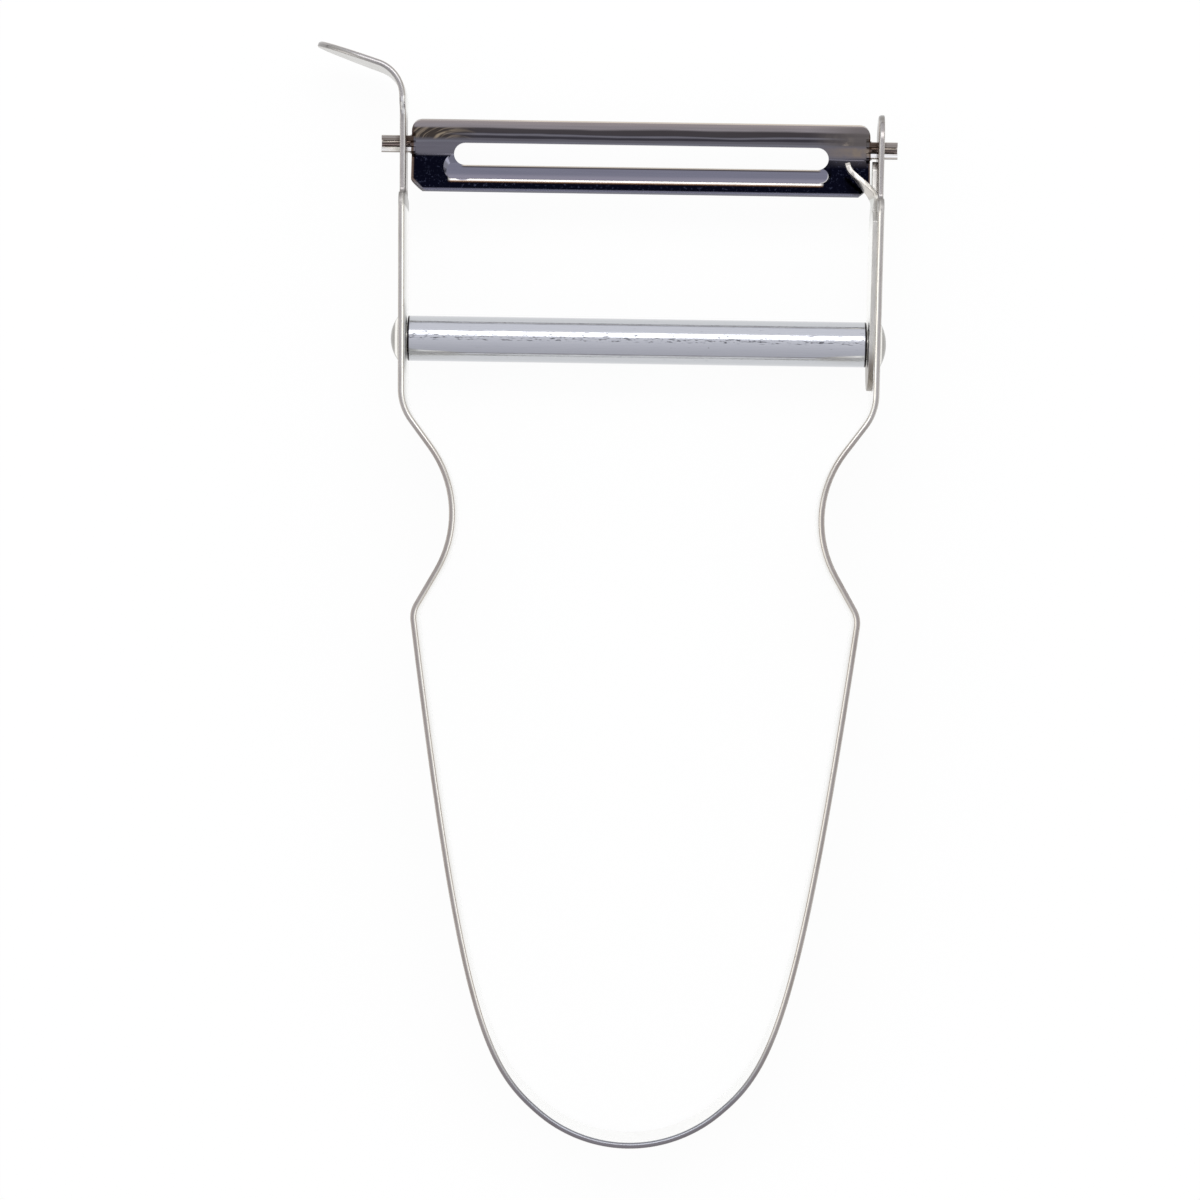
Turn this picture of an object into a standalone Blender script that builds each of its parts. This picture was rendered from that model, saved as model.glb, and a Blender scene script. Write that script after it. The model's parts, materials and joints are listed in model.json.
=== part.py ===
"""A y peeler: a bent steel strap, a swivelling blade, a spacer tube on a rivet and a stop leaf.

The peeler lies on its back. X runs along the blade, Y from the heel of the handle to the blade,
and Z out of the front face. The origin is on the strap's rear edge at the heel, in the middle of
its thickness. Heights are measured from there along Y. Lengths are in metres.
"""

import math

import bmesh
import bpy
from mathutils import Vector

MM = 0.001

# Strip steel that the strap is bent from
STOCK_WIDTH = 12.0 * MM
STOCK_THICKNESS = 0.62 * MM
STOCK_EDGE_CHAMFER = 0.13 * MM

# Bow of the handle, on the strap's outer face. The heel is a round arc, and a smooth curve leads
# from it up the limb: its two ends reach along their own directions. A corner further up is where
# two straight legs would meet. The arms lean out, and their half width is taken at the crossbar.
HEEL_RADIUS = 14.63 * MM
HEEL_TURN = math.radians(40.0)
HEEL_REACH = 7.2 * MM
LIMB_REACH = 41.4 * MM
LIMB_LEAN = math.radians(7.8)
SHOULDER_HALF_WIDTH = 23.27 * MM
SHOULDER_HEIGHT = 54.67 * MM
SHOULDER_RADIUS = 3.0 * MM
WAIST_CORNER_HALF_WIDTH = 17.13 * MM
WAIST_HEIGHT = 65.5 * MM
WAIST_RADIUS = 11.4 * MM
ARM_HALF_WIDTH = 24.85 * MM
ARM_LEAN = math.radians(0.7)
ARM_CORNER_BELOW_LEAF = 2.55 * MM
ARM_CORNER_RADIUS = 5.8 * MM

# Narrow ears that carry the blade
PIVOT_HEIGHT = 103.25 * MM
EAR_WIDTH = 5.5 * MM
EAR_RISE = 3.7 * MM
STEP_BELOW_PIVOT = 5.3 * MM
STEP_RADIUS = 1.2 * MM
STEP_FILLET = 0.5 * MM
STEP_SLOPE = 0.05

# Eye remover at the end of the left ear
EYE_BEND_RISE = 4.6 * MM
EYE_BEND_RADIUS = 3.4 * MM
EYE_BEND_TURN = math.radians(70.5)
EYE_RUN = 6.85 * MM
EYE_WIDTH = 8.5 * MM
EYE_FLARE_RISE = 2.9 * MM
EYE_TAPER = 8.5 * MM

# Crossbar: a tube on a through rivet
CROSSBAR_BELOW_PIVOT = 20.2 * MM
TUBE_RADIUS = 2.35 * MM
TUBE_WALL = 0.6 * MM
TUBE_END_CHAMFER = 0.12 * MM
TUBE_END_GAP = 0.15 * MM
TUBE_BORE_CLEARANCE = 0.25 * MM
RIVET_HEAD_OVERHANG = 0.95 * MM
RIVET_HEAD_HEIGHT = 0.9 * MM
RIVET_HEAD_GAP = 0.1 * MM
RIVET_HOLE_CLEARANCE = 0.1 * MM

# Stop leaf, held between the tube and the right arm
LEAF_THICKNESS = 0.4 * MM
LEAF_GAP = 0.1 * MM
LEAF_WIDTH = 9.6 * MM
LEAF_TOP_BELOW_PIVOT = 6.6 * MM
PRONG_WIDTH = 3.7 * MM
PRONG_CORNER = 0.9 * MM
PRONG_FOOT = 0.3 * MM
PRONG_TONGUE_CLEARANCE = 0.25 * MM

# Finger of the stop leaf, bent in over the blade's corner
FINGER_WIDTH = 1.3 * MM
FINGER_FOOT_FLARE = 0.45 * MM
FINGER_BLADE_CLEARANCE = 0.35 * MM
FINGER_BEND_BELOW_PIVOT = 4.9 * MM
FINGER_BEND_RADIUS = 2.2 * MM
FINGER_REACH = 2.75 * MM
FINGER_ELBOW_BELOW_PIVOT = 2.2 * MM
FINGER_ELBOW_RADIUS = 1.6 * MM
FINGER_TIP_LEAN = math.radians(14.0)
FINGER_TIP_LENGTH = 0.75 * MM
FINGER_TIP_WIDTH = 0.7 * MM
FINGER_THINNING = 0.01 * MM
FINGER_TWIST = math.radians(-46.0)
FINGER_TWIST_RISE = 2.6 * MM
FINGER_UNTWIST = 2.6
FINGER_STATION_SPACING = 0.3 * MM

# Blade, in the frame of its pivot axis: heights from the axis, depths towards the front
BLADE_THICKNESS = 0.5 * MM
BLADE_LEFT_CLEARANCE = 0.5 * MM
BLADE_RIGHT_CLEARANCE = 0.25 * MM
BLADE_RISE = 2.55 * MM
BAND_ABOVE_PIVOT = 0.45 * MM
BAND_BELOW_PIVOT = 1.0 * MM
UPPER_LAND_TILT = math.radians(22.0)
LOWER_LAND_TILT = math.radians(18.0)
BLADE_BEND_RADIUS = 0.8 * MM
BLADE_UPPER_CORNER_RADIUS = 1.1 * MM
BLADE_LOWER_CORNER_CUT = 1.2 * MM
BLADE_LOWER_CORNER_CURVE = 1.3
BLADE_EDGE_CHAMFER = 0.08 * MM
STATION_SPACING = 0.02 * MM

# Slot that the peel passes through, and the ground bevel below it
SLOT_LEFT_LAND = 4.4 * MM
SLOT_RIGHT_LAND = 4.3 * MM
SLOT_TOP = 0.25 * MM
SLOT_WIDTH = 2.3 * MM
BEVEL_WIDTH = 1.6 * MM
BEVEL_LEFT_OVERRUN = 0.75 * MM
BEVEL_LEFT_RADIUS = 1.3 * MM
BEVEL_UPPER_OVERRUN = 0.2 * MM
BEVEL_FOOT_STEP = 0.1 * MM
LOWER_RIM_WIDTH = 1.2 * MM
CUTTING_EDGE_THICKNESS = 0.1 * MM

# Pivot tongues, rolled from the blade's ends
TONGUE_BORE_RADIUS = 0.4 * MM
TONGUE_OPENING = math.radians(120.0)
TONGUE_LEFT_PROUD = 2.0 * MM
TONGUE_RIGHT_PROUD = 1.45 * MM
TONGUE_ROOT = 0.4 * MM
TONGUE_FILLET = 0.2 * MM
TONGUE_SINK = 0.02 * MM
TONGUE_HOLE_CLEARANCE = 0.08 * MM

# How finely round shapes are cut into flats
BOW_STEPS = 24
DEGREES_PER_STEP = 9.0
ROUND_SIDES = 32
HOLE_SIDES = 24
QUARTER_STEPS = 5
DOME_STEPS = 6
LEAF_END_STEPS = 12
CORNER_STEPS = 4
TONGUE_STEPS = 20
TONGUE_FILLET_STEPS = 3
SLOT_END_STEPS = 8
ROUND_END_STEPS = 8
ROUND_END_REACH = math.radians(84.0)
SMOOTH_BELOW = math.radians(22.0)

# Places worked out from the sizes above
MID_DEPTH = STOCK_WIDTH / 2
CROSSBAR_HEIGHT = PIVOT_HEIGHT - CROSSBAR_BELOW_PIVOT
ARM_CORNER_HEIGHT = CROSSBAR_HEIGHT - LEAF_WIDTH / 2 - ARM_CORNER_BELOW_LEAF
ARM_INNER = ARM_HALF_WIDTH - STOCK_THICKNESS
LEAF_OUTER = ARM_INNER - LEAF_GAP
LEAF_INNER = LEAF_OUTER - LEAF_THICKNESS
TUBE_LEFT = -ARM_INNER + TUBE_END_GAP
TUBE_RIGHT = LEAF_INNER - TUBE_END_GAP
EAR_SPREAD = CROSSBAR_BELOW_PIVOT * math.tan(ARM_LEAN)
BLADE_LEFT = -ARM_INNER - EAR_SPREAD + BLADE_LEFT_CLEARANCE
BLADE_RIGHT = LEAF_INNER + EAR_SPREAD - BLADE_RIGHT_CLEARANCE
TUBE_BORE_RADIUS = TUBE_RADIUS - TUBE_WALL
RIVET_RADIUS = TUBE_BORE_RADIUS - TUBE_BORE_CLEARANCE
RIVET_HEAD_RADIUS = RIVET_RADIUS + RIVET_HEAD_OVERHANG
TONGUE_RADIUS = TONGUE_BORE_RADIUS + BLADE_THICKNESS
BAND_DEPTH = -TONGUE_RADIUS + TONGUE_SINK + BLADE_THICKNESS / 2
SLOT_BOTTOM = SLOT_TOP - SLOT_WIDTH
BEVEL_BOTTOM = SLOT_BOTTOM - BEVEL_WIDTH
BLADE_BOTTOM = BEVEL_BOTTOM - LOWER_RIM_WIDTH


def clear_scene():
    for obj in list(bpy.data.objects):
        bpy.data.objects.remove(obj, do_unlink=True)


def metal(name, color, roughness):
    material = bpy.data.materials.new(name)
    material.use_nodes = True
    shader = material.node_tree.nodes["Principled BSDF"]
    shader.inputs["Base Color"].default_value = (*color, 1.0)
    shader.inputs["Metallic"].default_value = 1.0
    shader.inputs["Roughness"].default_value = roughness
    material.diffuse_color = (*color, 1.0)
    return material


def mesh_object(name, bm, material=None):
    """Turns a bmesh into a named object with smooth round faces and crisp edges."""
    bmesh.ops.recalc_face_normals(bm, faces=bm.faces[:])
    mesh = bpy.data.meshes.new(name)
    bm.to_mesh(mesh)
    bm.free()
    mesh.shade_smooth()
    mesh.set_sharp_from_angle(angle=SMOOTH_BELOW)
    if material:
        mesh.materials.append(material)
    obj = bpy.data.objects.new(name, mesh)
    bpy.context.scene.collection.objects.link(obj)
    return obj


def keep_flats_flat(obj):
    """Weights the shading by face size, so that a flat face beside a bend shades as flat."""
    modifier = obj.modifiers.new("flats", "WEIGHTED_NORMAL")
    modifier.keep_sharp = True


def combine(obj, other, operation):
    """Adds a Boolean modifier, and keeps the other object as a wire helper."""
    modifier = obj.modifiers.new(other.name, "BOOLEAN")
    modifier.operation = operation
    modifier.solver = "EXACT"
    modifier.object = other
    other.hide_render = True
    other.display_type = "WIRE"


def prism(outline, low, high, place):
    """A closed solid: an outline of (u, v) points, pulled from low to high. place puts them in space."""
    bm = bmesh.new()
    rings = [[bm.verts.new(place(u, v, side)) for u, v in outline] for side in (low, high)]
    for ring in rings:
        bm.faces.new(ring)
    join_rings(bm, *rings)
    return bm


def join_rings(bm, ring, following):
    for index in range(len(ring)):
        after = (index + 1) % len(ring)
        bm.faces.new((ring[index], ring[after], following[after], following[index]))


def along_x(y, z, x):
    return (x, y, z)


def along_z(x, y, z):
    return (x, y, z)


def heading(angle):
    return Vector((math.cos(angle), math.sin(angle)))


def arc(start, angle, turn, radius):
    """Stations (point, direction) along an arc, after its start. A positive turn is to the left."""
    side = 1.0 if turn > 0 else -1.0
    centre = start + side * radius * heading(angle + math.pi / 2)
    steps = max(2, math.ceil(math.degrees(abs(turn)) / DEGREES_PER_STEP))
    stations = []
    for step in range(1, steps + 1):
        now = angle + turn * step / steps
        stations.append((centre - side * radius * heading(now + math.pi / 2), now))
    return stations


def rounded_route(corners, radii):
    """Stations (point, direction) along straight legs joined by arcs, from the first corner to the last."""
    legs = [after - before for before, after in zip(corners, corners[1:])]
    angles = [math.atan2(leg.y, leg.x) for leg in legs]
    turns = [math.remainder(after - before, math.tau) for before, after in zip(angles, angles[1:])]
    wanted = [0.0] + [radius * math.tan(abs(turn) / 2) for radius, turn in zip(radii, turns)] + [0.0]
    fits = [0.98 * leg.length / max(sum(wanted[k:k + 2]), 0.01 * MM) for k, leg in enumerate(legs)]
    stations = [(corners[0], angles[0])]
    for k, turn in enumerate(turns):
        scale = min(1.0, fits[k], fits[k + 1])
        start = corners[k + 1] - heading(angles[k]) * wanted[k + 1] * scale
        stations.append((start, angles[k]))
        stations += arc(start, angles[k], turn, radii[k] * scale)
    stations.append((corners[-1], angles[-1]))
    return stations


def sheet(stations, thickness, chamfer, place):
    """Sheet metal along a route. Each station has a point, a direction, and the low and high side."""
    bm = bmesh.new()
    rings = []
    for point, angle, low, high in stations:
        inward = heading(angle + math.pi / 2)
        cut = min(chamfer, (high - low) / 4, thickness / 3)
        near, far = point, point + inward * thickness
        near_cut, far_cut = point + inward * cut, point + inward * (thickness - cut)
        outline = [
            (near, low + cut), (near, high - cut), (near_cut, high), (far_cut, high),
            (far, high - cut), (far, low + cut), (far_cut, low), (near_cut, low),
        ]
        rings.append([bm.verts.new(place(spot.x, spot.y, side)) for spot, side in outline])
    for ring, following in zip(rings, rings[1:]):
        join_rings(bm, ring, following)
    bm.faces.new(rings[0])
    bm.faces.new(rings[-1])
    return bm


def bow_route():
    """The bow of the handle on the right side, from the heel up to the straight arm."""
    shoulder = Vector((SHOULDER_HALF_WIDTH, SHOULDER_HEIGHT))
    waist = Vector((WAIST_CORNER_HALF_WIDTH, WAIST_HEIGHT))
    arm_corner, arm_top = on_arm(ARM_CORNER_HEIGHT), on_arm(PIVOT_HEIGHT)
    limb_angle = math.pi / 2 - LIMB_LEAN
    limb_start = shoulder - heading(limb_angle) * LIMB_REACH
    upper = rounded_route(
        [limb_start, shoulder, waist, arm_corner, arm_top],
        [SHOULDER_RADIUS, WAIST_RADIUS, ARM_CORNER_RADIUS],
    )[1:-1]
    bottom = Vector((0.0, -STOCK_THICKNESS / 2))
    heel = [(bottom, 0.0)] + arc(bottom, 0.0, HEEL_TURN, HEEL_RADIUS)
    heel_end, limb_end = heel[-1][0], upper[0][0]
    pulls = [
        heel_end,
        heel_end + heading(HEEL_TURN) * HEEL_REACH,
        limb_end - heading(limb_angle) * LIMB_REACH,
        limb_end,
    ]
    return heel[:-1] + bow_curve(pulls) + upper[1:]


def on_arm(height):
    """A point on the leaning arm's outer face."""
    return Vector((ARM_HALF_WIDTH + (height - CROSSBAR_HEIGHT) * math.tan(ARM_LEAN), height))


def bow_curve(pulls):
    """Stations along a smooth curve whose ends point at the two middle pulls."""
    first, second, third, last = pulls
    stations = []
    for step in range(BOW_STEPS + 1):
        t = step / BOW_STEPS
        s = 1 - t
        point = s**3 * first + 3 * s * s * t * second + 3 * s * t * t * third + t**3 * last
        slope = s * s * (second - first) + 2 * s * t * (third - second) + t * t * (last - third)
        stations.append((point, math.atan2(slope.y, slope.x)))
    return stations


def quarter():
    """Angles from a fraction of a right angle up to a full one."""
    return [math.pi / 2 * step / QUARTER_STEPS for step in range(1, QUARTER_STEPS + 1)]


def step_widths():
    """Heights and half widths where the stock narrows to the ear: round shoulder, ledge, fillet."""
    half_stock, half_ear = STOCK_WIDTH / 2, EAR_WIDTH / 2
    narrowing = half_stock - half_ear
    shoulder, fillet = (min(radius, narrowing / 2) for radius in (STEP_RADIUS, STEP_FILLET))
    top = PIVOT_HEIGHT - STEP_BELOW_PIVOT
    widths = [(top - shoulder, half_stock)]
    for angle in quarter():
        below, inset = shoulder * (1 - math.sin(angle)), shoulder * (1 - math.cos(angle))
        widths.append((top - below, half_stock - inset))
    ledge_end = top + STEP_SLOPE * (narrowing - shoulder - fillet)
    for angle in [0.0] + quarter():
        above, past = fillet * (1 - math.cos(angle)), fillet * (1 - math.sin(angle))
        widths.append((ledge_end + above, half_ear + past))
    return widths


def ear_stations():
    """The right ear, from the step up to its round end."""
    half_ear = EAR_WIDTH / 2
    up = math.pi / 2 - ARM_LEAN
    stations = [(on_arm(height), up, half) for height, half in step_widths()]
    end_centre = PIVOT_HEIGHT + EAR_RISE - half_ear
    for step in range(ROUND_END_STEPS + 1):
        angle = ROUND_END_REACH * step / ROUND_END_STEPS
        height = end_centre + half_ear * math.sin(angle)
        stations.append((on_arm(height), up, half_ear * math.cos(angle)))
    return stations


def eye_half_width(distance, length):
    """Half the eye remover's width at a distance along it from where it starts to widen."""
    half_ear, half_eye = EAR_WIDTH / 2, EYE_WIDTH / 2
    flare, taper = eye_flare(), eye_taper(length)
    if distance < flare:
        return half_ear + flare * (1 - math.cos(math.pi * distance / flare)) / 2
    past = max(0.0, distance - (length - taper))
    return half_eye * math.sqrt(1 - (past / taper) ** 2)


def eye_flare():
    return (EYE_WIDTH - EAR_WIDTH) / 2


def eye_taper(length):
    return min(EYE_TAPER, 0.8 * (length - eye_flare()))


def eye_distances(length):
    """Distances along the eye remover, closer together where it widens and where it rounds off."""
    flare, taper = eye_flare(), eye_taper(length)
    even = length - taper - flare
    widening = [flare * step / ROUND_END_STEPS for step in range(1, ROUND_END_STEPS + 1)]
    straight = [flare + even * step / QUARTER_STEPS for step in range(1, QUARTER_STEPS + 1)]
    rounding = []
    for step in range(1, 2 * ROUND_END_STEPS + 1):
        angle = ROUND_END_REACH * step / (2 * ROUND_END_STEPS)
        rounding.append(length - taper * (1 - math.sin(angle)))
    return widening + straight + rounding


def eye_stations():
    """The left ear with the eye remover, drawn on the right side and mirrored later."""
    up = math.pi / 2 - ARM_LEAN
    stations = [(on_arm(height), up, half) for height, half in step_widths()]
    flare_start, bend_start = on_arm(PIVOT_HEIGHT + EYE_FLARE_RISE), on_arm(PIVOT_HEIGHT + EYE_BEND_RISE)
    stations.append((flare_start, up, EAR_WIDTH / 2))
    bend_length = EYE_BEND_RADIUS * EYE_BEND_TURN
    before_bend = (bend_start - flare_start).length
    length = before_bend + bend_length + EYE_RUN
    centre = bend_start + EYE_BEND_RADIUS * heading(up - math.pi / 2)
    for distance in eye_distances(length):
        half = eye_half_width(distance, length)
        past_start = distance - before_bend
        if past_start <= 0:
            stations.append((flare_start + distance * heading(up), up, half))
            continue
        turned = min(past_start / EYE_BEND_RADIUS, EYE_BEND_TURN)
        straight = max(0.0, past_start - bend_length)
        angle = up - turned
        point = centre + EYE_BEND_RADIUS * heading(angle + math.pi / 2) + heading(angle) * straight
        stations.append((point, angle, half))
    return stations


def make_strap(material):
    """One strip from the eye remover's tip, down the left side, round the heel and up to the right ear."""
    bow = [(point, angle, STOCK_WIDTH / 2) for point, angle in bow_route()]
    right = bow + ear_stations()
    left = [
        (Vector((-point.x, point.y)), -angle, half)
        for point, angle, half in (bow + eye_stations())[1:]
    ]
    stations = [
        (point, angle, MID_DEPTH - half, MID_DEPTH + half) for point, angle, half in left[::-1] + right
    ]
    strap = mesh_object(
        "handle_strap", sheet(stations, STOCK_THICKNESS, STOCK_EDGE_CHAMFER, along_z), material
    )
    reach = STOCK_THICKNESS * 3
    holes = (
        ("pivot_hole", PIVOT_HEIGHT, TONGUE_RADIUS + TONGUE_HOLE_CLEARANCE),
        ("rivet_hole", CROSSBAR_HEIGHT, RIVET_RADIUS + RIVET_HOLE_CLEARANCE),
    )
    for side, mirrored in (("left", -1), ("right", 1)):
        for name, height, radius in holes:
            outline = circle(radius, HOLE_SIDES, (height, MID_DEPTH))
            middle = mirrored * on_arm(height).x
            hole = prism(outline, middle - reach, middle + reach, along_x)
            combine(strap, mesh_object(f"{name}_{side}", hole), "DIFFERENCE")
    keep_flats_flat(strap)
    return strap


def circle(radius, sides, centre=(0.0, 0.0)):
    return [tuple(Vector(centre) + radius * heading(math.tau * k / sides)) for k in range(sides)]


def turned(name, profile, closed, material):
    """A solid turned about the crossbar's axis from (x, radius) points."""
    bm = bmesh.new()
    verts = [bm.verts.new((x, CROSSBAR_HEIGHT + radius, MID_DEPTH)) for x, radius in profile]
    edges = [bm.edges.new(pair) for pair in zip(verts, verts[1:])]
    if closed:
        edges.append(bm.edges.new((verts[-1], verts[0])))
    bmesh.ops.spin(
        bm,
        geom=verts + edges,
        cent=(0, CROSSBAR_HEIGHT, MID_DEPTH),
        axis=(1, 0, 0),
        angle=math.tau,
        steps=ROUND_SIDES,
        use_merge=True,
    )
    bmesh.ops.remove_doubles(bm, verts=bm.verts[:], dist=1e-7)
    return mesh_object(name, bm, material)


def make_tube(material):
    cut = TUBE_END_CHAMFER
    profile = [
        (TUBE_LEFT, TUBE_BORE_RADIUS),
        (TUBE_LEFT, TUBE_RADIUS - cut),
        (TUBE_LEFT + cut, TUBE_RADIUS),
        (TUBE_RIGHT - cut, TUBE_RADIUS),
        (TUBE_RIGHT, TUBE_RADIUS - cut),
        (TUBE_RIGHT, TUBE_BORE_RADIUS),
    ]
    return turned("spacer_tube", profile, True, material)


def dome(seat, side):
    """Profile points of a rivet head, from its rim to its middle."""
    sphere = (RIVET_HEAD_RADIUS**2 + RIVET_HEAD_HEIGHT**2) / (2 * RIVET_HEAD_HEIGHT)
    widest = math.asin(RIVET_HEAD_RADIUS / sphere)
    points = []
    for step in range(DOME_STEPS + 1):
        angle = widest * (1 - step / DOME_STEPS)
        rise = RIVET_HEAD_HEIGHT - sphere * (1 - math.cos(angle))
        points.append((side * (seat + rise), sphere * math.sin(angle)))
    return points


def make_rivet(material):
    seat = ARM_HALF_WIDTH + RIVET_HEAD_GAP
    profile = dome(seat, -1)[::-1] + [(-seat, RIVET_RADIUS), (seat, RIVET_RADIUS)] + dome(seat, 1)
    return turned("through_rivet", profile, False, material)


def leaf_outline():
    """The flat leaf in (height, depth): round at the rivet, with a prong beside the pivot."""
    half = LEAF_WIDTH / 2
    top = PIVOT_HEIGHT - LEAF_TOP_BELOW_PIVOT
    prong_top = PIVOT_HEIGHT - TONGUE_RADIUS - PRONG_TONGUE_CLEARANCE
    back = MID_DEPTH - EAR_WIDTH / 2
    front = back + PRONG_WIDTH
    outline = []
    for step in range(LEAF_END_STEPS + 1):
        angle = math.pi * (0.5 + step / LEAF_END_STEPS)
        outline.append((CROSSBAR_HEIGHT + half * math.cos(angle), MID_DEPTH + half * math.sin(angle)))
    shoulder = (half - EAR_WIDTH / 2) / 2
    outline += [
        (top - shoulder, MID_DEPTH - half),
        (top, MID_DEPTH - half + shoulder),
        (top + shoulder, back),
        (prong_top - PRONG_CORNER, back),
        (prong_top, back + PRONG_CORNER),
        (prong_top, front - PRONG_CORNER),
        (prong_top - PRONG_CORNER, front),
        (top + shoulder, front),
        (top, front + PRONG_FOOT),
        (top, MID_DEPTH + half - shoulder),
        (top - shoulder, MID_DEPTH + half),
    ]
    return outline


def finger_depth():
    """Middle of the finger's width, so that its back clears the front of the blade's lower land."""
    widest = FINGER_WIDTH + FINGER_FOOT_FLARE
    return MID_DEPTH + lower_land_depth(BLADE_BOTTOM, 1) + FINGER_BLADE_CLEARANCE + widest / 2


def make_finger():
    """The finger: it leaves the leaf's plane, crosses the blade's corner and turns up again.

    It is broad and twisted at its foot, and on the way up it untwists and ends narrow.
    """
    middle = (LEAF_OUTER + LEAF_INNER) / 2
    root = PIVOT_HEIGHT - LEAF_TOP_BELOW_PIVOT - FINGER_WIDTH
    bend = PIVOT_HEIGHT - FINGER_BEND_BELOW_PIVOT
    elbow = Vector((middle - FINGER_REACH, PIVOT_HEIGHT - FINGER_ELBOW_BELOW_PIVOT))
    corners = [
        Vector((middle, root)),
        Vector((middle, bend)),
        elbow,
        elbow + FINGER_TIP_LENGTH * heading(math.pi / 2 + FINGER_TIP_LEAN),
    ]
    route = rounded_route(corners, [FINGER_BEND_RADIUS, FINGER_ELBOW_RADIUS])
    stations = [route[0]]
    for (before, angle), (after, turned_to) in zip(route[1:], route[2:]):
        steps = max(1, round((after - before).length / FINGER_STATION_SPACING))
        stations += [(before.lerp(after, step / steps), angle) for step in range(steps)]
    stations.append(route[-1])
    bm = bmesh.new()
    rings = []
    half_thickness = LEAF_THICKNESS / 2 - FINGER_THINNING
    for index, (point, angle) in enumerate(stations):
        risen = min(1.0, max(0.0, (point.y - bend) / FINGER_TWIST_RISE + 0.5))
        from_tip = 1 - min(1.0, max(0.0, (point.y - bend) / (corners[-1].y - bend)))
        twist = FINGER_TWIST * risen * from_tip**FINGER_UNTWIST
        width = FINGER_WIDTH + FINGER_FOOT_FLARE * risen * from_tip
        if index == len(stations) - 1:
            width = FINGER_TIP_WIDTH
        normal = Vector((*heading(angle - math.pi / 2), 0.0))
        forward = Vector((0.0, 0.0, 1.0))
        across = normal * math.cos(twist) + forward * math.sin(twist)
        broad = forward * math.cos(twist) - normal * math.sin(twist)
        centre = Vector((point.x, point.y, finger_depth()))
        half_thick, half_broad = across * half_thickness, broad * width / 2
        corners_of_ring = [
            centre - half_thick - half_broad,
            centre + half_thick - half_broad,
            centre + half_thick + half_broad,
            centre - half_thick + half_broad,
        ]
        rings.append([bm.verts.new(corner) for corner in corners_of_ring])
    for ring, following in zip(rings, rings[1:]):
        join_rings(bm, ring, following)
    bm.faces.new(rings[0])
    bm.faces.new(rings[-1])
    return mesh_object("finger", bm)


def make_leaf(material):
    bm = prism(leaf_outline(), LEAF_INNER, LEAF_OUTER, along_x)
    leaf = mesh_object("stop_leaf", bm, material)
    combine(leaf, make_finger(), "UNION")
    for vert in leaf.data.vertices:
        vert.co.x += (vert.co.y - CROSSBAR_HEIGHT) * math.tan(ARM_LEAN)
    outline = circle(RIVET_RADIUS + RIVET_HOLE_CLEARANCE, HOLE_SIDES, (CROSSBAR_HEIGHT, MID_DEPTH))
    hole = prism(outline, LEAF_INNER - LEAF_THICKNESS, LEAF_OUTER + LEAF_THICKNESS, along_x)
    combine(leaf, mesh_object("leaf_hole", hole), "DIFFERENCE")
    keep_flats_flat(leaf)
    return leaf


def blade_section():
    """Stations (point, direction) down the middle of the blade's sheet, in (height, depth)."""
    upper_reach = BLADE_RISE - BAND_ABOVE_PIVOT
    corners = [
        Vector((BLADE_RISE, BAND_DEPTH + upper_reach * math.tan(UPPER_LAND_TILT))),
        Vector((BAND_ABOVE_PIVOT, BAND_DEPTH)),
        Vector((-BAND_BELOW_PIVOT, BAND_DEPTH)),
        Vector((BLADE_BOTTOM, lower_land_depth(BLADE_BOTTOM, 0))),
    ]
    return rounded_route(corners, [BLADE_BEND_RADIUS, BLADE_BEND_RADIUS])


def blade_stations():
    """The section with extra stations at the corners and beside the tongues, and each one's two ends."""
    section = blade_section()
    heights = [BLADE_RISE - BLADE_UPPER_CORNER_RADIUS * (1 - math.cos(angle)) for angle in quarter()]
    for step in range(1, CORNER_STEPS + 1):
        heights.append(BLADE_BOTTOM + BLADE_LOWER_CORNER_CUT * step / CORNER_STEPS)
    for step in range(TONGUE_FILLET_STEPS + 1):
        beside = TONGUE_RADIUS + tongue_fillet() * step / TONGUE_FILLET_STEPS
        heights += [beside, -beside]
    stations = section + [point_at_height(section, height) for height in heights]
    stations.sort(key=lambda station: -station[0].x)
    found = []
    for point, angle in stations:
        if found and abs(found[-1][0].x - point.x) < STATION_SPACING:
            continue
        found.append((point, angle))
    return [
        (point - heading(angle + math.pi / 2) * BLADE_THICKNESS / 2, angle, *blade_ends(point.x))
        for point, angle in found
    ]


def tongue_fillet():
    """Radius between a tongue and the blade's end, which has to stay clear of the leaf."""
    return min(TONGUE_FILLET, 0.8 * BLADE_RIGHT_CLEARANCE)


def point_at_height(section, height):
    for (before, angle), (after, _) in zip(section, section[1:]):
        if after.x <= height <= before.x and before.x > after.x:
            share = (before.x - height) / (before.x - after.x)
            return before.lerp(after, share), angle
    return section[-1]


def blade_ends(height):
    """Where the sheet starts and stops at a height: round upper corners, cut lower ones, tongues."""
    radius = BLADE_UPPER_CORNER_RADIUS
    past_top = max(0.0, height - (BLADE_RISE - radius))
    inset = radius - math.sqrt(max(0.0, radius**2 - past_top**2))
    share = max(0.0, BLADE_BOTTOM + BLADE_LOWER_CORNER_CUT - height) / BLADE_LOWER_CORNER_CUT
    inset += BLADE_LOWER_CORNER_CUT * share**BLADE_LOWER_CORNER_CURVE
    beside = (abs(height) - TONGUE_RADIUS) / tongue_fillet()
    if beside < 1:
        inset = -tongue_fillet() * (1 - max(0.0, beside)) ** 2
    return BLADE_LEFT + inset, BLADE_RIGHT - inset


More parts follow.
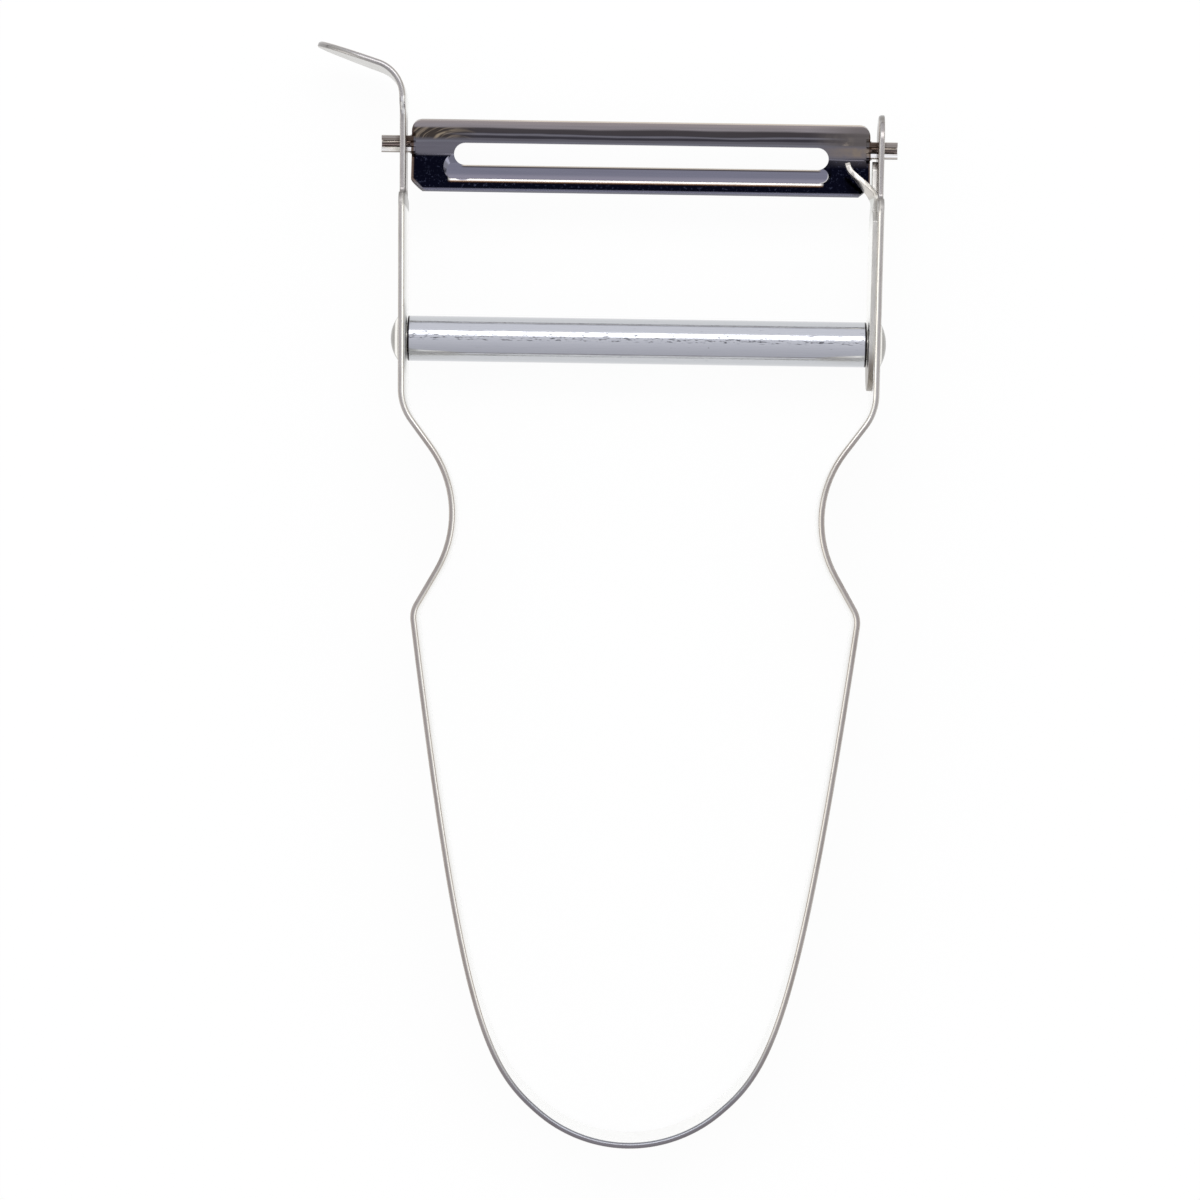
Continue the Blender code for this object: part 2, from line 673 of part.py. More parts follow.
def make_blade(material):
    """The blade, placed on its pivot axis, with its slot, ground bevel and rolled tongues."""
    pivot = bpy.data.objects.new("blade_pivot", None)
    pivot.location = (0.0, PIVOT_HEIGHT, MID_DEPTH)
    bpy.context.scene.collection.objects.link(pivot)

    body = sheet(blade_stations(), BLADE_THICKNESS, BLADE_EDGE_CHAMFER, along_x)
    blade = mesh_object("blade", body, material)
    helpers = []
    ear = on_arm(PIVOT_HEIGHT).x
    for side, end, proud in (
        ("left", BLADE_LEFT, -ear - TONGUE_LEFT_PROUD),
        ("right", BLADE_RIGHT, ear + TONGUE_RIGHT_PROUD),
    ):
        start = end + TONGUE_ROOT if side == "left" else end - TONGUE_ROOT
        low, high = sorted((start, proud))
        tongue = mesh_object(f"tongue_{side}", prism(tongue_outline(), low, high, along_x))
        combine(blade, tongue, "UNION")
        helpers.append(tongue)
    for cutter in (slot_cutter(), bevel_cutter()):
        combine(blade, cutter, "DIFFERENCE")
        helpers.append(cutter)
    keep_flats_flat(blade)
    for obj in [blade, *helpers]:
        obj.parent = pivot
    return blade


def tongue_outline():
    """A rolled tongue in (height, depth), open to the front."""
    first = (math.pi + TONGUE_OPENING) / 2
    span = math.tau - TONGUE_OPENING
    headings = [heading(first + span * step / TONGUE_STEPS) for step in range(TONGUE_STEPS + 1)]
    outer_arc = [tuple(TONGUE_RADIUS * way) for way in headings]
    inner_arc = [tuple(TONGUE_BORE_RADIUS * way) for way in headings]
    return outer_arc + inner_arc[::-1]


def slot_ends():
    return BLADE_LEFT + SLOT_LEFT_LAND, BLADE_RIGHT - SLOT_RIGHT_LAND


def obround(left, right, bottom, top):
    """A long round-ended outline in (x, y)."""
    radius = (top - bottom) / 2
    middle = (top + bottom) / 2
    points = []
    for centre, start in ((right - radius, -math.pi / 2), (left + radius, math.pi / 2)):
        for step in range(SLOT_END_STEPS + 1):
            angle = start + math.pi * step / SLOT_END_STEPS
            points.append((centre + radius * math.cos(angle), middle + radius * math.sin(angle)))
    return points


def slot_cutter():
    left, right = slot_ends()
    outline = obround(left, right, SLOT_BOTTOM, SLOT_TOP)
    return mesh_object("slot", prism(outline, -STOCK_WIDTH / 2, STOCK_WIDTH / 2, along_z))


def lower_land_depth(height, offset):
    """Depth of the lower land's sheet at a height: offset 0 is its middle, 1 its front and -1 its back."""
    middle = BAND_DEPTH - (BAND_BELOW_PIVOT + height) * math.tan(LOWER_LAND_TILT)
    return middle + offset * BLADE_THICKNESS / 2 / math.cos(LOWER_LAND_TILT)


def bevel_cutter():
    """Takes the front off the sheet below the slot, and leaves the thin cutting edge."""
    edge_depth = lower_land_depth(SLOT_BOTTOM, -1) + CUTTING_EDGE_THICKNESS
    foot_depth = lower_land_depth(BEVEL_BOTTOM, 1) - BEVEL_FOOT_STEP
    rise = Vector((SLOT_BOTTOM - BEVEL_BOTTOM, edge_depth - foot_depth))
    up, out = rise.normalized(), Vector((-rise.y, rise.x)).normalized()

    def on_bevel(x, distance, depth):
        spot = Vector((BEVEL_BOTTOM, foot_depth)) + up * distance + out * depth
        return (x, spot.x, spot.y)

    outline = bevel_outline(rise.length + BEVEL_UPPER_OVERRUN)
    return mesh_object("bevel", prism(outline, 0.0, STOCK_WIDTH / 4, on_bevel))


def bevel_outline(width):
    """The bevel in (x, distance from its foot): a full round right end and a flatter left one."""
    left, right = slot_ends()
    half = width / 2
    radius = max(BEVEL_LEFT_RADIUS, half)
    reach = math.asin(half / radius)
    right_centre = Vector((right - half, half))
    left_centre = Vector((left - BEVEL_LEFT_OVERRUN + radius, half))
    shares = [step / SLOT_END_STEPS for step in range(SLOT_END_STEPS + 1)]
    right_end = [right_centre + half * heading(math.pi * (share - 0.5)) for share in shares]
    left_end = [left_centre + radius * heading(math.pi + reach * (2 * share - 1)) for share in shares]
    return [tuple(point) for point in right_end + left_end]


def build():
    clear_scene()
    strap_steel = metal("strap_steel", (0.74, 0.73, 0.70), 0.28)
    tube_steel = metal("tube_steel", (0.58, 0.60, 0.66), 0.25)
    rivet_steel = metal("rivet_steel", (0.72, 0.71, 0.68), 0.35)
    leaf_steel = metal("leaf_steel", (0.66, 0.66, 0.63), 0.3)
    blade_steel = metal("blade_steel", (0.20, 0.19, 0.22), 0.18)
    make_strap(strap_steel)
    make_tube(tube_steel)
    make_rivet(rivet_steel)
    make_leaf(leaf_steel)
    make_blade(blade_steel)


build()
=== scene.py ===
import json
import math

import bmesh
import bpy
from mathutils import Matrix, Vector
from mathutils.bvhtree import BVHTree


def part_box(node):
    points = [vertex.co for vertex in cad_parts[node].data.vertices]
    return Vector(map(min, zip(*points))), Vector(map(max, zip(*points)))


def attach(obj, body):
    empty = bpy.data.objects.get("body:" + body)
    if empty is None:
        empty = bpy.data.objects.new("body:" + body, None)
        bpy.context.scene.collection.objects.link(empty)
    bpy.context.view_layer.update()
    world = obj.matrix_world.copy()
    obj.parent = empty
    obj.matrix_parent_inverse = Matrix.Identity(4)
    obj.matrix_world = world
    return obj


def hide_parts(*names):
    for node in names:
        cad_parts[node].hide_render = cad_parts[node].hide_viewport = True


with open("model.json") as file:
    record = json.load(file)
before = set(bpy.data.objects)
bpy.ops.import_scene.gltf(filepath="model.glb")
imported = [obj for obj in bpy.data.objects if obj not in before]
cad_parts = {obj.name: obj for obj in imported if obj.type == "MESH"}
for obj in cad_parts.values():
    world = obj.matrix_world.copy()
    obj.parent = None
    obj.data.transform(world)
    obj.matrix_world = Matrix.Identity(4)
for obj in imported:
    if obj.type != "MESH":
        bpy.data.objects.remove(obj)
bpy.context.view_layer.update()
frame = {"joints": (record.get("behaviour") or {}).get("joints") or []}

# Shapes are drawn in millimetres, and scaled to metres as they leave the bench
mm = 0.001
pivot = Vector(frame["joints"][0]["pos_m"]) / mm  # swivel axis of the blade
middleDepth = pivot.z
strapLow, strapHigh = (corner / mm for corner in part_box("handle_strap"))
tubeLow, tubeHigh = (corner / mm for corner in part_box("spacer_tube"))
rivetLow, rivetHigh = (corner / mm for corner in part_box("through_rivet"))
leafLow, leafHigh = (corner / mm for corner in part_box("stop_leaf"))
bladeLow, bladeHigh = (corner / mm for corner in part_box("blade"))
crossbarHeight = (tubeLow.y + tubeHigh.y) / 2
print("frame loaded, swivel axis at", tuple(round(value, 2) for value in pivot), "mm")


# Shader maths

class Wire:  # an output socket that takes Python arithmetic
    def __init__(self, sheet, output):
        self.sheet = sheet
        self.output = output

    def maths(self, operation, *values, clamp=False):
        settings = dict(operation=operation, use_clamp=clamp)
        return self.sheet.node("ShaderNodeMath", settings, dict(enumerate([self, *values])))

    def __add__(self, other):
        return self.maths("ADD", other)

    __radd__ = __add__

    def __mul__(self, other):
        return self.maths("MULTIPLY", other)

    __rmul__ = __mul__

    def __sub__(self, other):
        return self.maths("SUBTRACT", other)

    def __rsub__(self, other):
        return self * -1 + other

    def size(self):
        return self.maths("ABSOLUTE")

    def above(self, edge, soft):  # 0 below the edge, 1 above it
        return ((self - (edge - soft / 2)) * (1 / soft)).maths("ADD", 0.0, clamp=True)

    def between(self, low, high, soft):
        return self.above(low, soft) * (1 - self.above(high, soft))

    def at(self, place):  # (edge, softness), (low, high, softness) or the name of one
        place = self.sheet.paint.get(place, place)
        return self.above(*place) if len(place) == 2 else self.between(*place)

    def roughness(self):  # stretches 0 to 1 over the finish's own range
        low, high = self.sheet.paint["roughness"]
        return self * (high - low) + low


class NodeSheet:  # the nodes of one material, or of the world, and its named values
    def __init__(self, owner, paint=None):
        owner.use_nodes = True
        self.owner = owner
        self.tree = owner.node_tree
        self.paint = paint or {}

    def node(self, kind, settings=None, inputs=None, output=0):
        made = self.tree.nodes.new(kind)
        for name, value in (settings or {}).items():
            setattr(made, name, value)
        for name, value in (inputs or {}).items():
            self.feed(made.inputs[name], value)
        return Wire(self, made.outputs[output])

    def feed(self, socket, value):  # a value is a wire, a number, a colour or a name
        if isinstance(value, str):
            value = self.paint[value]
        if isinstance(value, Wire):
            self.tree.links.new(value.output, socket)
        elif socket.type == "RGBA":
            socket.default_value = (*value, 1.0)
        else:
            socket.default_value = value

    def axes(self, output, scale=1.0):  # three numbers of Texture Coordinate
        spot = {0: self.node("ShaderNodeTexCoord", output=output)}
        return [
            self.node("ShaderNodeSeparateXYZ", inputs=spot, output=axis) * scale
            for axis in range(3)
        ]

    def place(self):  # millimetres along X, Y and Z
        return self.axes("Object", 1 / mm)

    def stored(self, name):
        return self.node("ShaderNodeAttribute", dict(attribute_name=name), output="Fac")

    def noise(self, axes, waves, detail=3.0, roughness=0.55):
        pairs = zip(axes, self.paint[waves])
        inputs = {index: axis * wave for index, (axis, wave) in enumerate(pairs)}
        spot = self.node("ShaderNodeCombineXYZ", inputs=inputs)
        inputs = {"Vector": spot, "Scale": 1.0, "Detail": detail, "Roughness": roughness}
        return self.node("ShaderNodeTexNoise", inputs=inputs)

    def mix(self, under, over, mask, blend="MIX"):  # the over colour where the mask is 1
        made = self.node("ShaderNodeMix", dict(data_type="RGBA", blend_type=blend), output=2)
        for index, value in ((0, mask), (6, under), (7, over)):
            self.feed(made.output.node.inputs[index], value)
        return made

    def coats(self, colour, *coats):  # each coat is a colour and the mask that shows it
        for over, mask in coats:
            colour = self.mix(colour, over, mask)
        return colour

    def stripes(self, colour, ruler, name):  # each is a colour and its place on the ruler
        stripes = [(over, ruler.at(place)) for over, place in self.paint[name]]
        return self.coats(colour, *stripes)

    def blend(self, pair, mask):  # from the first colour of a pair to the second
        return self.mix(*self.paint[pair], mask)

    def tint(self, colour, other):
        return self.mix(colour, other, 1.0, "MULTIPLY")

    def bump(self, height):
        strength, distance = self.paint["bump"]
        inputs = {"Height": height, "Strength": strength, "Distance": distance * mm}
        return self.node("ShaderNodeBump", inputs=inputs)

    def light(self, ray):
        return self.node("ShaderNodeLightPath", output=ray)


def metal(sheet, colour, roughness, height):
    shader, normal = sheet.tree.nodes["Principled BSDF"], sheet.bump(height)
    inputs = {"Base Color": colour, "Metallic": 1.0, "Roughness": roughness, "Normal": normal}
    for name, value in inputs.items():
        sheet.feed(shader.inputs[name], value)
    return sheet.owner


# Bench tools

def heading(angle):
    return Vector((math.cos(angle), math.sin(angle)))


def arcAround(centre, radius, start, end, steps=20):
    angles = [start + (end - start) * step / steps for step in range(steps + 1)]
    return [centre + radius * heading(angle) for angle in angles]


def throughCorners(corners, radii, degreesPerStep=4.0):
    # stations (point, angle) on straight legs that are joined by round bends
    legs = [after - before for before, after in zip(corners, corners[1:])]
    angles = [math.atan2(leg.y, leg.x) for leg in legs]
    stations = [(corners[0], angles[0])]
    for corner, radius, before, after in zip(corners[1:], radii, angles, angles[1:]):
        turn = math.remainder(after - before, math.tau)
        side = math.copysign(1.0, turn)
        start = corner - heading(before) * radius * math.tan(abs(turn) / 2)
        centre = start + side * radius * heading(before + math.pi / 2)
        steps = max(2, math.ceil(math.degrees(abs(turn)) / degreesPerStep))
        for step in range(steps + 1):
            angle = before + turn * step / steps
            stations.append((centre - side * radius * heading(angle + math.pi / 2), angle))
    stations.append((corners[-1], angles[-1]))
    return stations


def grow(bm, edge, places):
    # pulls an edge on to two new places, and returns the new edge
    made = bmesh.ops.extrude_edge_only(bm, edges=[edge])["geom"]
    verts = [item for item in made if isinstance(item, bmesh.types.BMVert)]
    verts.sort(key=lambda vert: vert.co.z)
    for vert, place in zip(verts, places):
        vert.co = place
    return next(item for item in verts[0].link_edges if item.other_vert(verts[0]) == verts[1])


def pierce(bm, faces, centre, radius, sides=48):
    # cuts a round hole, square to X, through faces that lie flat
    flat = bmesh.ops.dissolve_faces(bm, faces=faces, use_verts=False)["region"] or faces
    rim = list(flat[0].edges)
    turn = Matrix.Translation(centre) @ Matrix.Rotation(math.pi / 2, 4, "Y")
    ring = bmesh.ops.create_circle(
        bm, cap_ends=False, segments=sides, radius=radius, matrix=turn,
    )["verts"]
    rim += list({edge for vert in ring for edge in vert.link_edges})
    bmesh.ops.delete(bm, geom=flat, context="FACES_ONLY")
    bmesh.ops.triangle_fill(bm, use_beauty=True, use_dissolve=False, edges=rim, normal=(1, 0, 0))


def toObject(bm, name):
    bmesh.ops.scale(bm, vec=(mm, mm, mm), verts=bm.verts)
    mesh = bpy.data.meshes.new(name)
    bm.to_mesh(mesh)
    bm.free()
    made = bpy.data.objects.new(name, mesh)
    bpy.context.scene.collection.objects.link(made)
    return made


def thicken(piece, thickness, offset):
    solid = piece.modifiers.new("sheet", "SOLIDIFY")
    solid.thickness = thickness * mm
    solid.offset = offset
    solid.use_even_offset = True


def roundEdges(piece, radius, segments, degrees=35.0):
    rounding = piece.modifiers.new("rounding", "BEVEL")
    rounding.width = radius * mm
    rounding.segments = segments
    rounding.limit_method = "ANGLE"
    rounding.angle_limit = math.radians(degrees)


def roundPicked(piece, radius, segments, picked, degrees=50.0):
    # rounds only the sharp edges whose middle, in millimetres, is picked
    bm = bmesh.new()
    bm.from_mesh(piece.data)
    edges = []
    for edge in bm.edges:
        sharp = edge.is_manifold and edge.calc_face_angle() > math.radians(degrees)
        if sharp and picked((edge.verts[0].co + edge.verts[1].co) / 2 / mm):
            edges.append(edge)
    bmesh.ops.bevel(
        bm, geom=edges, offset=radius * mm, offset_type="OFFSET", affect="EDGES",
        segments=segments, profile=0.5, material=-1, clamp_overlap=False,
    )
    bm.to_mesh(piece.data)
    bm.free()


def storeNumber(piece, name, values, domain="POINT"):
    made = piece.data.attributes.new(name, "FLOAT", domain)
    made.data.foreach_set("value", values)


def applyModifiers(piece):
    graph = bpy.context.evaluated_depsgraph_get()
    mesh = bpy.data.meshes.new_from_object(piece.evaluated_get(graph))
    piece.modifiers.clear()
    piece.data = mesh


def carve(piece, tool, operation):
    cut = piece.modifiers.new(tool.name, "BOOLEAN")
    cut.operation = operation
    cut.solver = "EXACT"
    cut.object = tool
    applyModifiers(piece)
    bpy.data.objects.remove(tool)


def finishPiece(piece, material, node, body):
    piece.data.materials.clear()
    piece.data.materials.append(material)
    piece.data.shade_smooth()
    weighted = piece.modifiers.new("flats", "WEIGHTED_NORMAL")
    weighted.keep_sharp = False
    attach(piece, body)
    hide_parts(node)
    print(piece.name, "made")


# Handle strap

strap = dict(
    thickness=0.62, outerRound=0.09, innerRound=0.3, holeRound=0.08,
    heelRadius=14.63, heelTurn=40.0, heelReach=7.2, limbReach=41.4, limbLean=7.8,
    shoulder=(23.27, 54.67), shoulderRadius=3.0,
    waist=(17.13, 65.5), waistRadius=11.4,
    armHalfWidth=24.85, armLean=0.7, armCornerHeight=75.7, armCornerRadius=5.8,
    earWidth=5.5, earRise=3.7, stepBelowPivot=5.3, stepRadius=1.2, stepFillet=0.5, stepSlope=0.05,
    eyeBendRise=4.6, eyeBendRadius=3.4, eyeBendTurn=70.5, eyeRun=6.85,
    eyeWidth=8.5, eyeFlareRise=2.9, eyeTaper=8.5,
    earEndTurn=84.0, eyeEndTurn=85.5,  # where the round ends stop, short of a point
    pivotHole=0.98, rivetHole=1.6,
    earFlat=1.9, armFlat=2.6, holeReach=1.95, holeMargin=0.1,  # the flats around the holes
)


def onArm(height):  # a point on the leaning arm's outer face
    lean = math.tan(math.radians(strap["armLean"]))
    return Vector((strap["armHalfWidth"] + (height - crossbarHeight) * lean, height))


def bowStations(steps=60):
    # the heel's round arc, a smooth curve up the limb, then the bends up to the arm
    shoulder, waist = Vector(strap["shoulder"]), Vector(strap["waist"])
    arm = onArm(strap["armCornerHeight"])
    lean = math.pi / 2 - math.radians(strap["limbLean"])
    limbStart = shoulder - heading(lean) * strap["limbReach"]
    corners = [limbStart, shoulder, waist, arm, onArm(pivot.y)]
    radii = [strap["shoulderRadius"], strap["waistRadius"], strap["armCornerRadius"]]
    upper = throughCorners(corners, radii)[1:-1]
    radius, turn = strap["heelRadius"], math.radians(strap["heelTurn"])
    lowest = -math.pi / 2
    stations = arcAround(Vector((0, strapLow.y + radius)), radius, lowest, turn + lowest)
    first, last = stations.pop(), upper[0][0]
    pulls = [
        first, first + heading(turn) * strap["heelReach"],
        last - heading(lean) * strap["limbReach"], last,
    ]
    for step in range(steps):
        t = step / steps
        weights = [(1 - t) ** 3, 3 * t * (1 - t) ** 2, 3 * t * t * (1 - t), t ** 3]
        shares = [pull * weight for pull, weight in zip(pulls, weights)]
        stations.append(sum(shares, Vector((0, 0))))
    return stations + [point for point, angle in upper]


def stepStations(steps=8):
    # heights and half widths where the strip narrows to the ear: shoulder, ledge, fillet
    halfStrip, halfEar = (strapHigh.z - strapLow.z) / 2, strap["earWidth"] / 2
    outer, inner = strap["stepRadius"], strap["stepFillet"]
    top = pivot.y - strap["stepBelowPivot"]
    ledge = top + strap["stepSlope"] * (halfStrip - halfEar - outer - inner)
    angles = [math.pi / 2 * step / steps for step in range(steps + 1)]
    turns = [(1 - math.sin(angle), 1 - math.cos(angle)) for angle in angles]
    shoulder = [(top - outer * up, halfStrip - outer * across) for up, across in turns]
    fillet = [(ledge + inner * across, halfEar + inner * up) for up, across in turns]
    return shoulder + fillet


def earEnd(steps=14):
    half = strap["earWidth"] / 2
    centre = pivot.y + strap["earRise"] - half
    angles = [math.radians(strap["earEndTurn"]) * step / steps for step in range(steps + 1)]
    return [(centre + half * math.sin(angle), half * math.cos(angle)) for angle in angles]


def eyeStations(steps=60):
    # points and half widths along the eye remover, for the right side
    halfEar, halfEye = strap["earWidth"] / 2, strap["eyeWidth"] / 2
    flare = halfEye - halfEar
    up = math.pi / 2 - math.radians(strap["armLean"])
    flareStart = onArm(pivot.y + strap["eyeFlareRise"])
    bendStart = onArm(pivot.y + strap["eyeBendRise"])
    radius, turn = strap["eyeBendRadius"], math.radians(strap["eyeBendTurn"])
    beforeBend = (bendStart - flareStart).length
    length = beforeBend + radius * turn + strap["eyeRun"]
    centre = bendStart + radius * heading(up - math.pi / 2)
    stations = []
    for step in range(steps + 1):
        distance = length * math.sin(math.radians(strap["eyeEndTurn"]) * step / steps)
        past = max(0.0, distance - (length - strap["eyeTaper"])) / strap["eyeTaper"]
        widened = flare * (1 - math.cos(math.pi * min(1.0, distance / flare))) / 2
        half = (halfEar + widened) * math.sqrt(1 - past * past)
        if distance <= beforeBend:
            stations.append((flareStart + distance * heading(up), half))
            continue
        onArc = distance - beforeBend
        turned = min(onArc / radius, turn)
        angle = up - turned
        onward = heading(angle) * (onArc - radius * turned)
        point = centre + radius * heading(angle + math.pi / 2) + onward
        stations.append((point, half))
    return stations


def makeStrap(material):
    bm = bmesh.new()
    along = bm.verts.layers.float.new("along")
    halfStrip, halfEar = (strapHigh.z - strapLow.z) / 2, strap["earWidth"] / 2
    belowHole, aboveHole = onArm(pivot.y - strap["earFlat"]), onArm(pivot.y + strap["earFlat"])
    travelled = 0.0

    def pull(edge, point, half, side=1):  # one more station, on the side of +X or -X
        nonlocal travelled
        before = (edge.verts[0].co + edge.verts[1].co) / 2
        point = Vector((side * point.x, point.y))
        travelled += side * (point - before.xy).length
        spots = [(*point, middleDepth - half), (*point, middleDepth + half)]
        edge = grow(bm, edge, spots)
        for vert in edge.verts:
            vert[along] = travelled
        return edge

    bow = bowStations()
    start = [bm.verts.new((*bow[0], middleDepth + side * halfStrip)) for side in (-1, 1)]
    edge = bm.edges.new(start)
    for point in bow[1:]:
        edge = pull(edge, point, halfStrip)
    for offset in (-strap["armFlat"], strap["armFlat"]):
        edge = pull(edge, onArm(crossbarHeight + offset), halfStrip)
    for height, half in stepStations():
        edge = pull(edge, onArm(height), half)
    edge = pull(edge, belowHole, halfEar)
    atEar = travelled
    bmesh.ops.mirror(bm, geom=bm.verts[:] + bm.edges[:] + bm.faces[:], merge_dist=0.001, axis="X")
    for vert in bm.verts:
        if vert.co.x < 0:
            vert[along] *= -1
    for height, half in earEnd():
        edge = pull(edge, onArm(height), half)

    travelled = -atEar
    edge = next(
        item for item in bm.edges
        if all(vert.co.x < 0 and abs(vert.co.y - belowHole.y) < 0.001 for vert in item.verts)
    )
    edge = pull(edge, aboveHole, halfEar, -1)
    for point, half in eyeStations():
        edge = pull(edge, point, half, -1)

    holes = ((pivot.y, strap["pivotHole"]), (crossbarHeight, strap["rivetHole"]))
    for side in (-1, 1):
        for height, radius in holes:
            centre = Vector((side * onArm(height).x, height, middleDepth))
            near = [
                face for face in bm.faces
                if (face.calc_center_bounds() - centre).length < strap["holeReach"]
            ]
            pierce(bm, near, centre, radius)
    bmesh.ops.recalc_face_normals(bm, faces=bm.faces)
    heel = min(bm.faces, key=lambda face: face.calc_center_median().y)
    if heel.normal.y > 0:
        bmesh.ops.reverse_faces(bm, faces=bm.faces)
    outside = BVHTree.FromBMesh(bm)
    piece = toObject(bm, "bentStrap")
    thicken(piece, strap["thickness"], -1.0)
    applyModifiers(piece)

    def inward(spot):  # 0 on the outer face, 1 on the inner one
        return outside.find_nearest(spot)[3] / strap["thickness"]

    def byHole(spot):
        return any(
            (spot.yz - Vector((height, middleDepth))).length < radius + strap["holeMargin"]
            for height, radius in holes
        )

    roundPicked(piece, strap["holeRound"], 2, byHole)
    roundPicked(piece, strap["outerRound"], 2, lambda spot: inward(spot) < 0.2)
    roundPicked(piece, strap["innerRound"], 5, lambda spot: inward(spot) > 0.8 and not byHole(spot))
    storeNumber(piece, "inward", [inward(vert.co / mm) for vert in piece.data.vertices])
    finishPiece(piece, material, "handle_strap", "handle")


# Crossbar tube and rivet

crossbar = dict(bore=1.75, endRound=0.12, seat=24.95, shank=1.5, headRound=0.06, rightRise=0.7)


def turnedPiece(name, profile, closed, steps=96):
    # spins (x, radius) points about the crossbar's axis
    bm = bmesh.new()
    verts = [bm.verts.new((x, crossbarHeight + radius, middleDepth)) for x, radius in profile]
    edges = [bm.edges.new(pair) for pair in zip(verts, verts[1:])]
    if closed:
        edges.append(bm.edges.new((verts[-1], verts[0])))
    bmesh.ops.spin(
        bm, geom=verts + edges, cent=(0, crossbarHeight, middleDepth), axis=(1, 0, 0),
        angle=math.tau, steps=steps, use_merge=True,
    )
    bmesh.ops.remove_doubles(bm, verts=bm.verts, dist=0.0001)
    bmesh.ops.recalc_face_normals(bm, faces=bm.faces)
    return toObject(bm, name)


def makeTube(material):
    radius, bore = (tubeHigh.y - tubeLow.y) / 2, crossbar["bore"]
    profile = [(tubeLow.x, bore), (tubeLow.x, radius), (tubeHigh.x, radius), (tubeHigh.x, bore)]
    piece = turnedPiece("crossbarTube", profile, True)
    roundEdges(piece, crossbar["endRound"], 3)
    applyModifiers(piece)
    finishPiece(piece, material, "spacer_tube", "handle")


def makeRivet(material):
    radius, seat = (rivetHigh.y - rivetLow.y) / 2, crossbar["seat"]

    def dome(rise, side, steps=12):  # (x, radius) from the head's rim to its crown
        sphere = (radius ** 2 + rise ** 2) / (2 * rise)
        angles = [math.asin(radius / sphere) * (1 - step / steps) for step in range(steps + 1)]
        return [
            (side * (seat + rise - sphere * (1 - math.cos(angle))), sphere * math.sin(angle))
            for angle in angles
        ]

    shank = [(-seat, crossbar["shank"]), (seat, crossbar["shank"])]
    profile = dome(rivetHigh.x - seat, -1)[::-1] + shank + dome(crossbar["rightRise"], 1)
    piece = turnedPiece("crossbarRivet", profile, False)
    roundEdges(piece, crossbar["headRound"], 2)
    applyModifiers(piece)
    finishPiece(piece, material, "through_rivet", "handle")


# Stop leaf with its finger

leaf = dict(
    thickness=0.4, gap=0.1, extra=0.11, edgeRound=0.06, rivetHole=1.6, topBelowPivot=6.6,
    prongTopBelowPivot=1.15, prongWidth=3.7, prongCorner=0.9, earWidth=5.5,
    fingerWidth=1.3, fingerFootFlare=0.45, fingerDepth=2.109, fingerReach=2.75,
    fingerBendBelowPivot=4.9, fingerBendRadius=2.2,
    fingerElbowBelowPivot=2.2, fingerElbowRadius=1.6,
    tipLean=14.0, tipLength=0.75, tipWidth=0.7,
    footTwist=-46.0, untwist=2.6, twistRise=2.6, stationGap=0.3,
    ridgeFacing=0.87, cutEdgeFacing=0.7, flatFacing=-0.9,
)


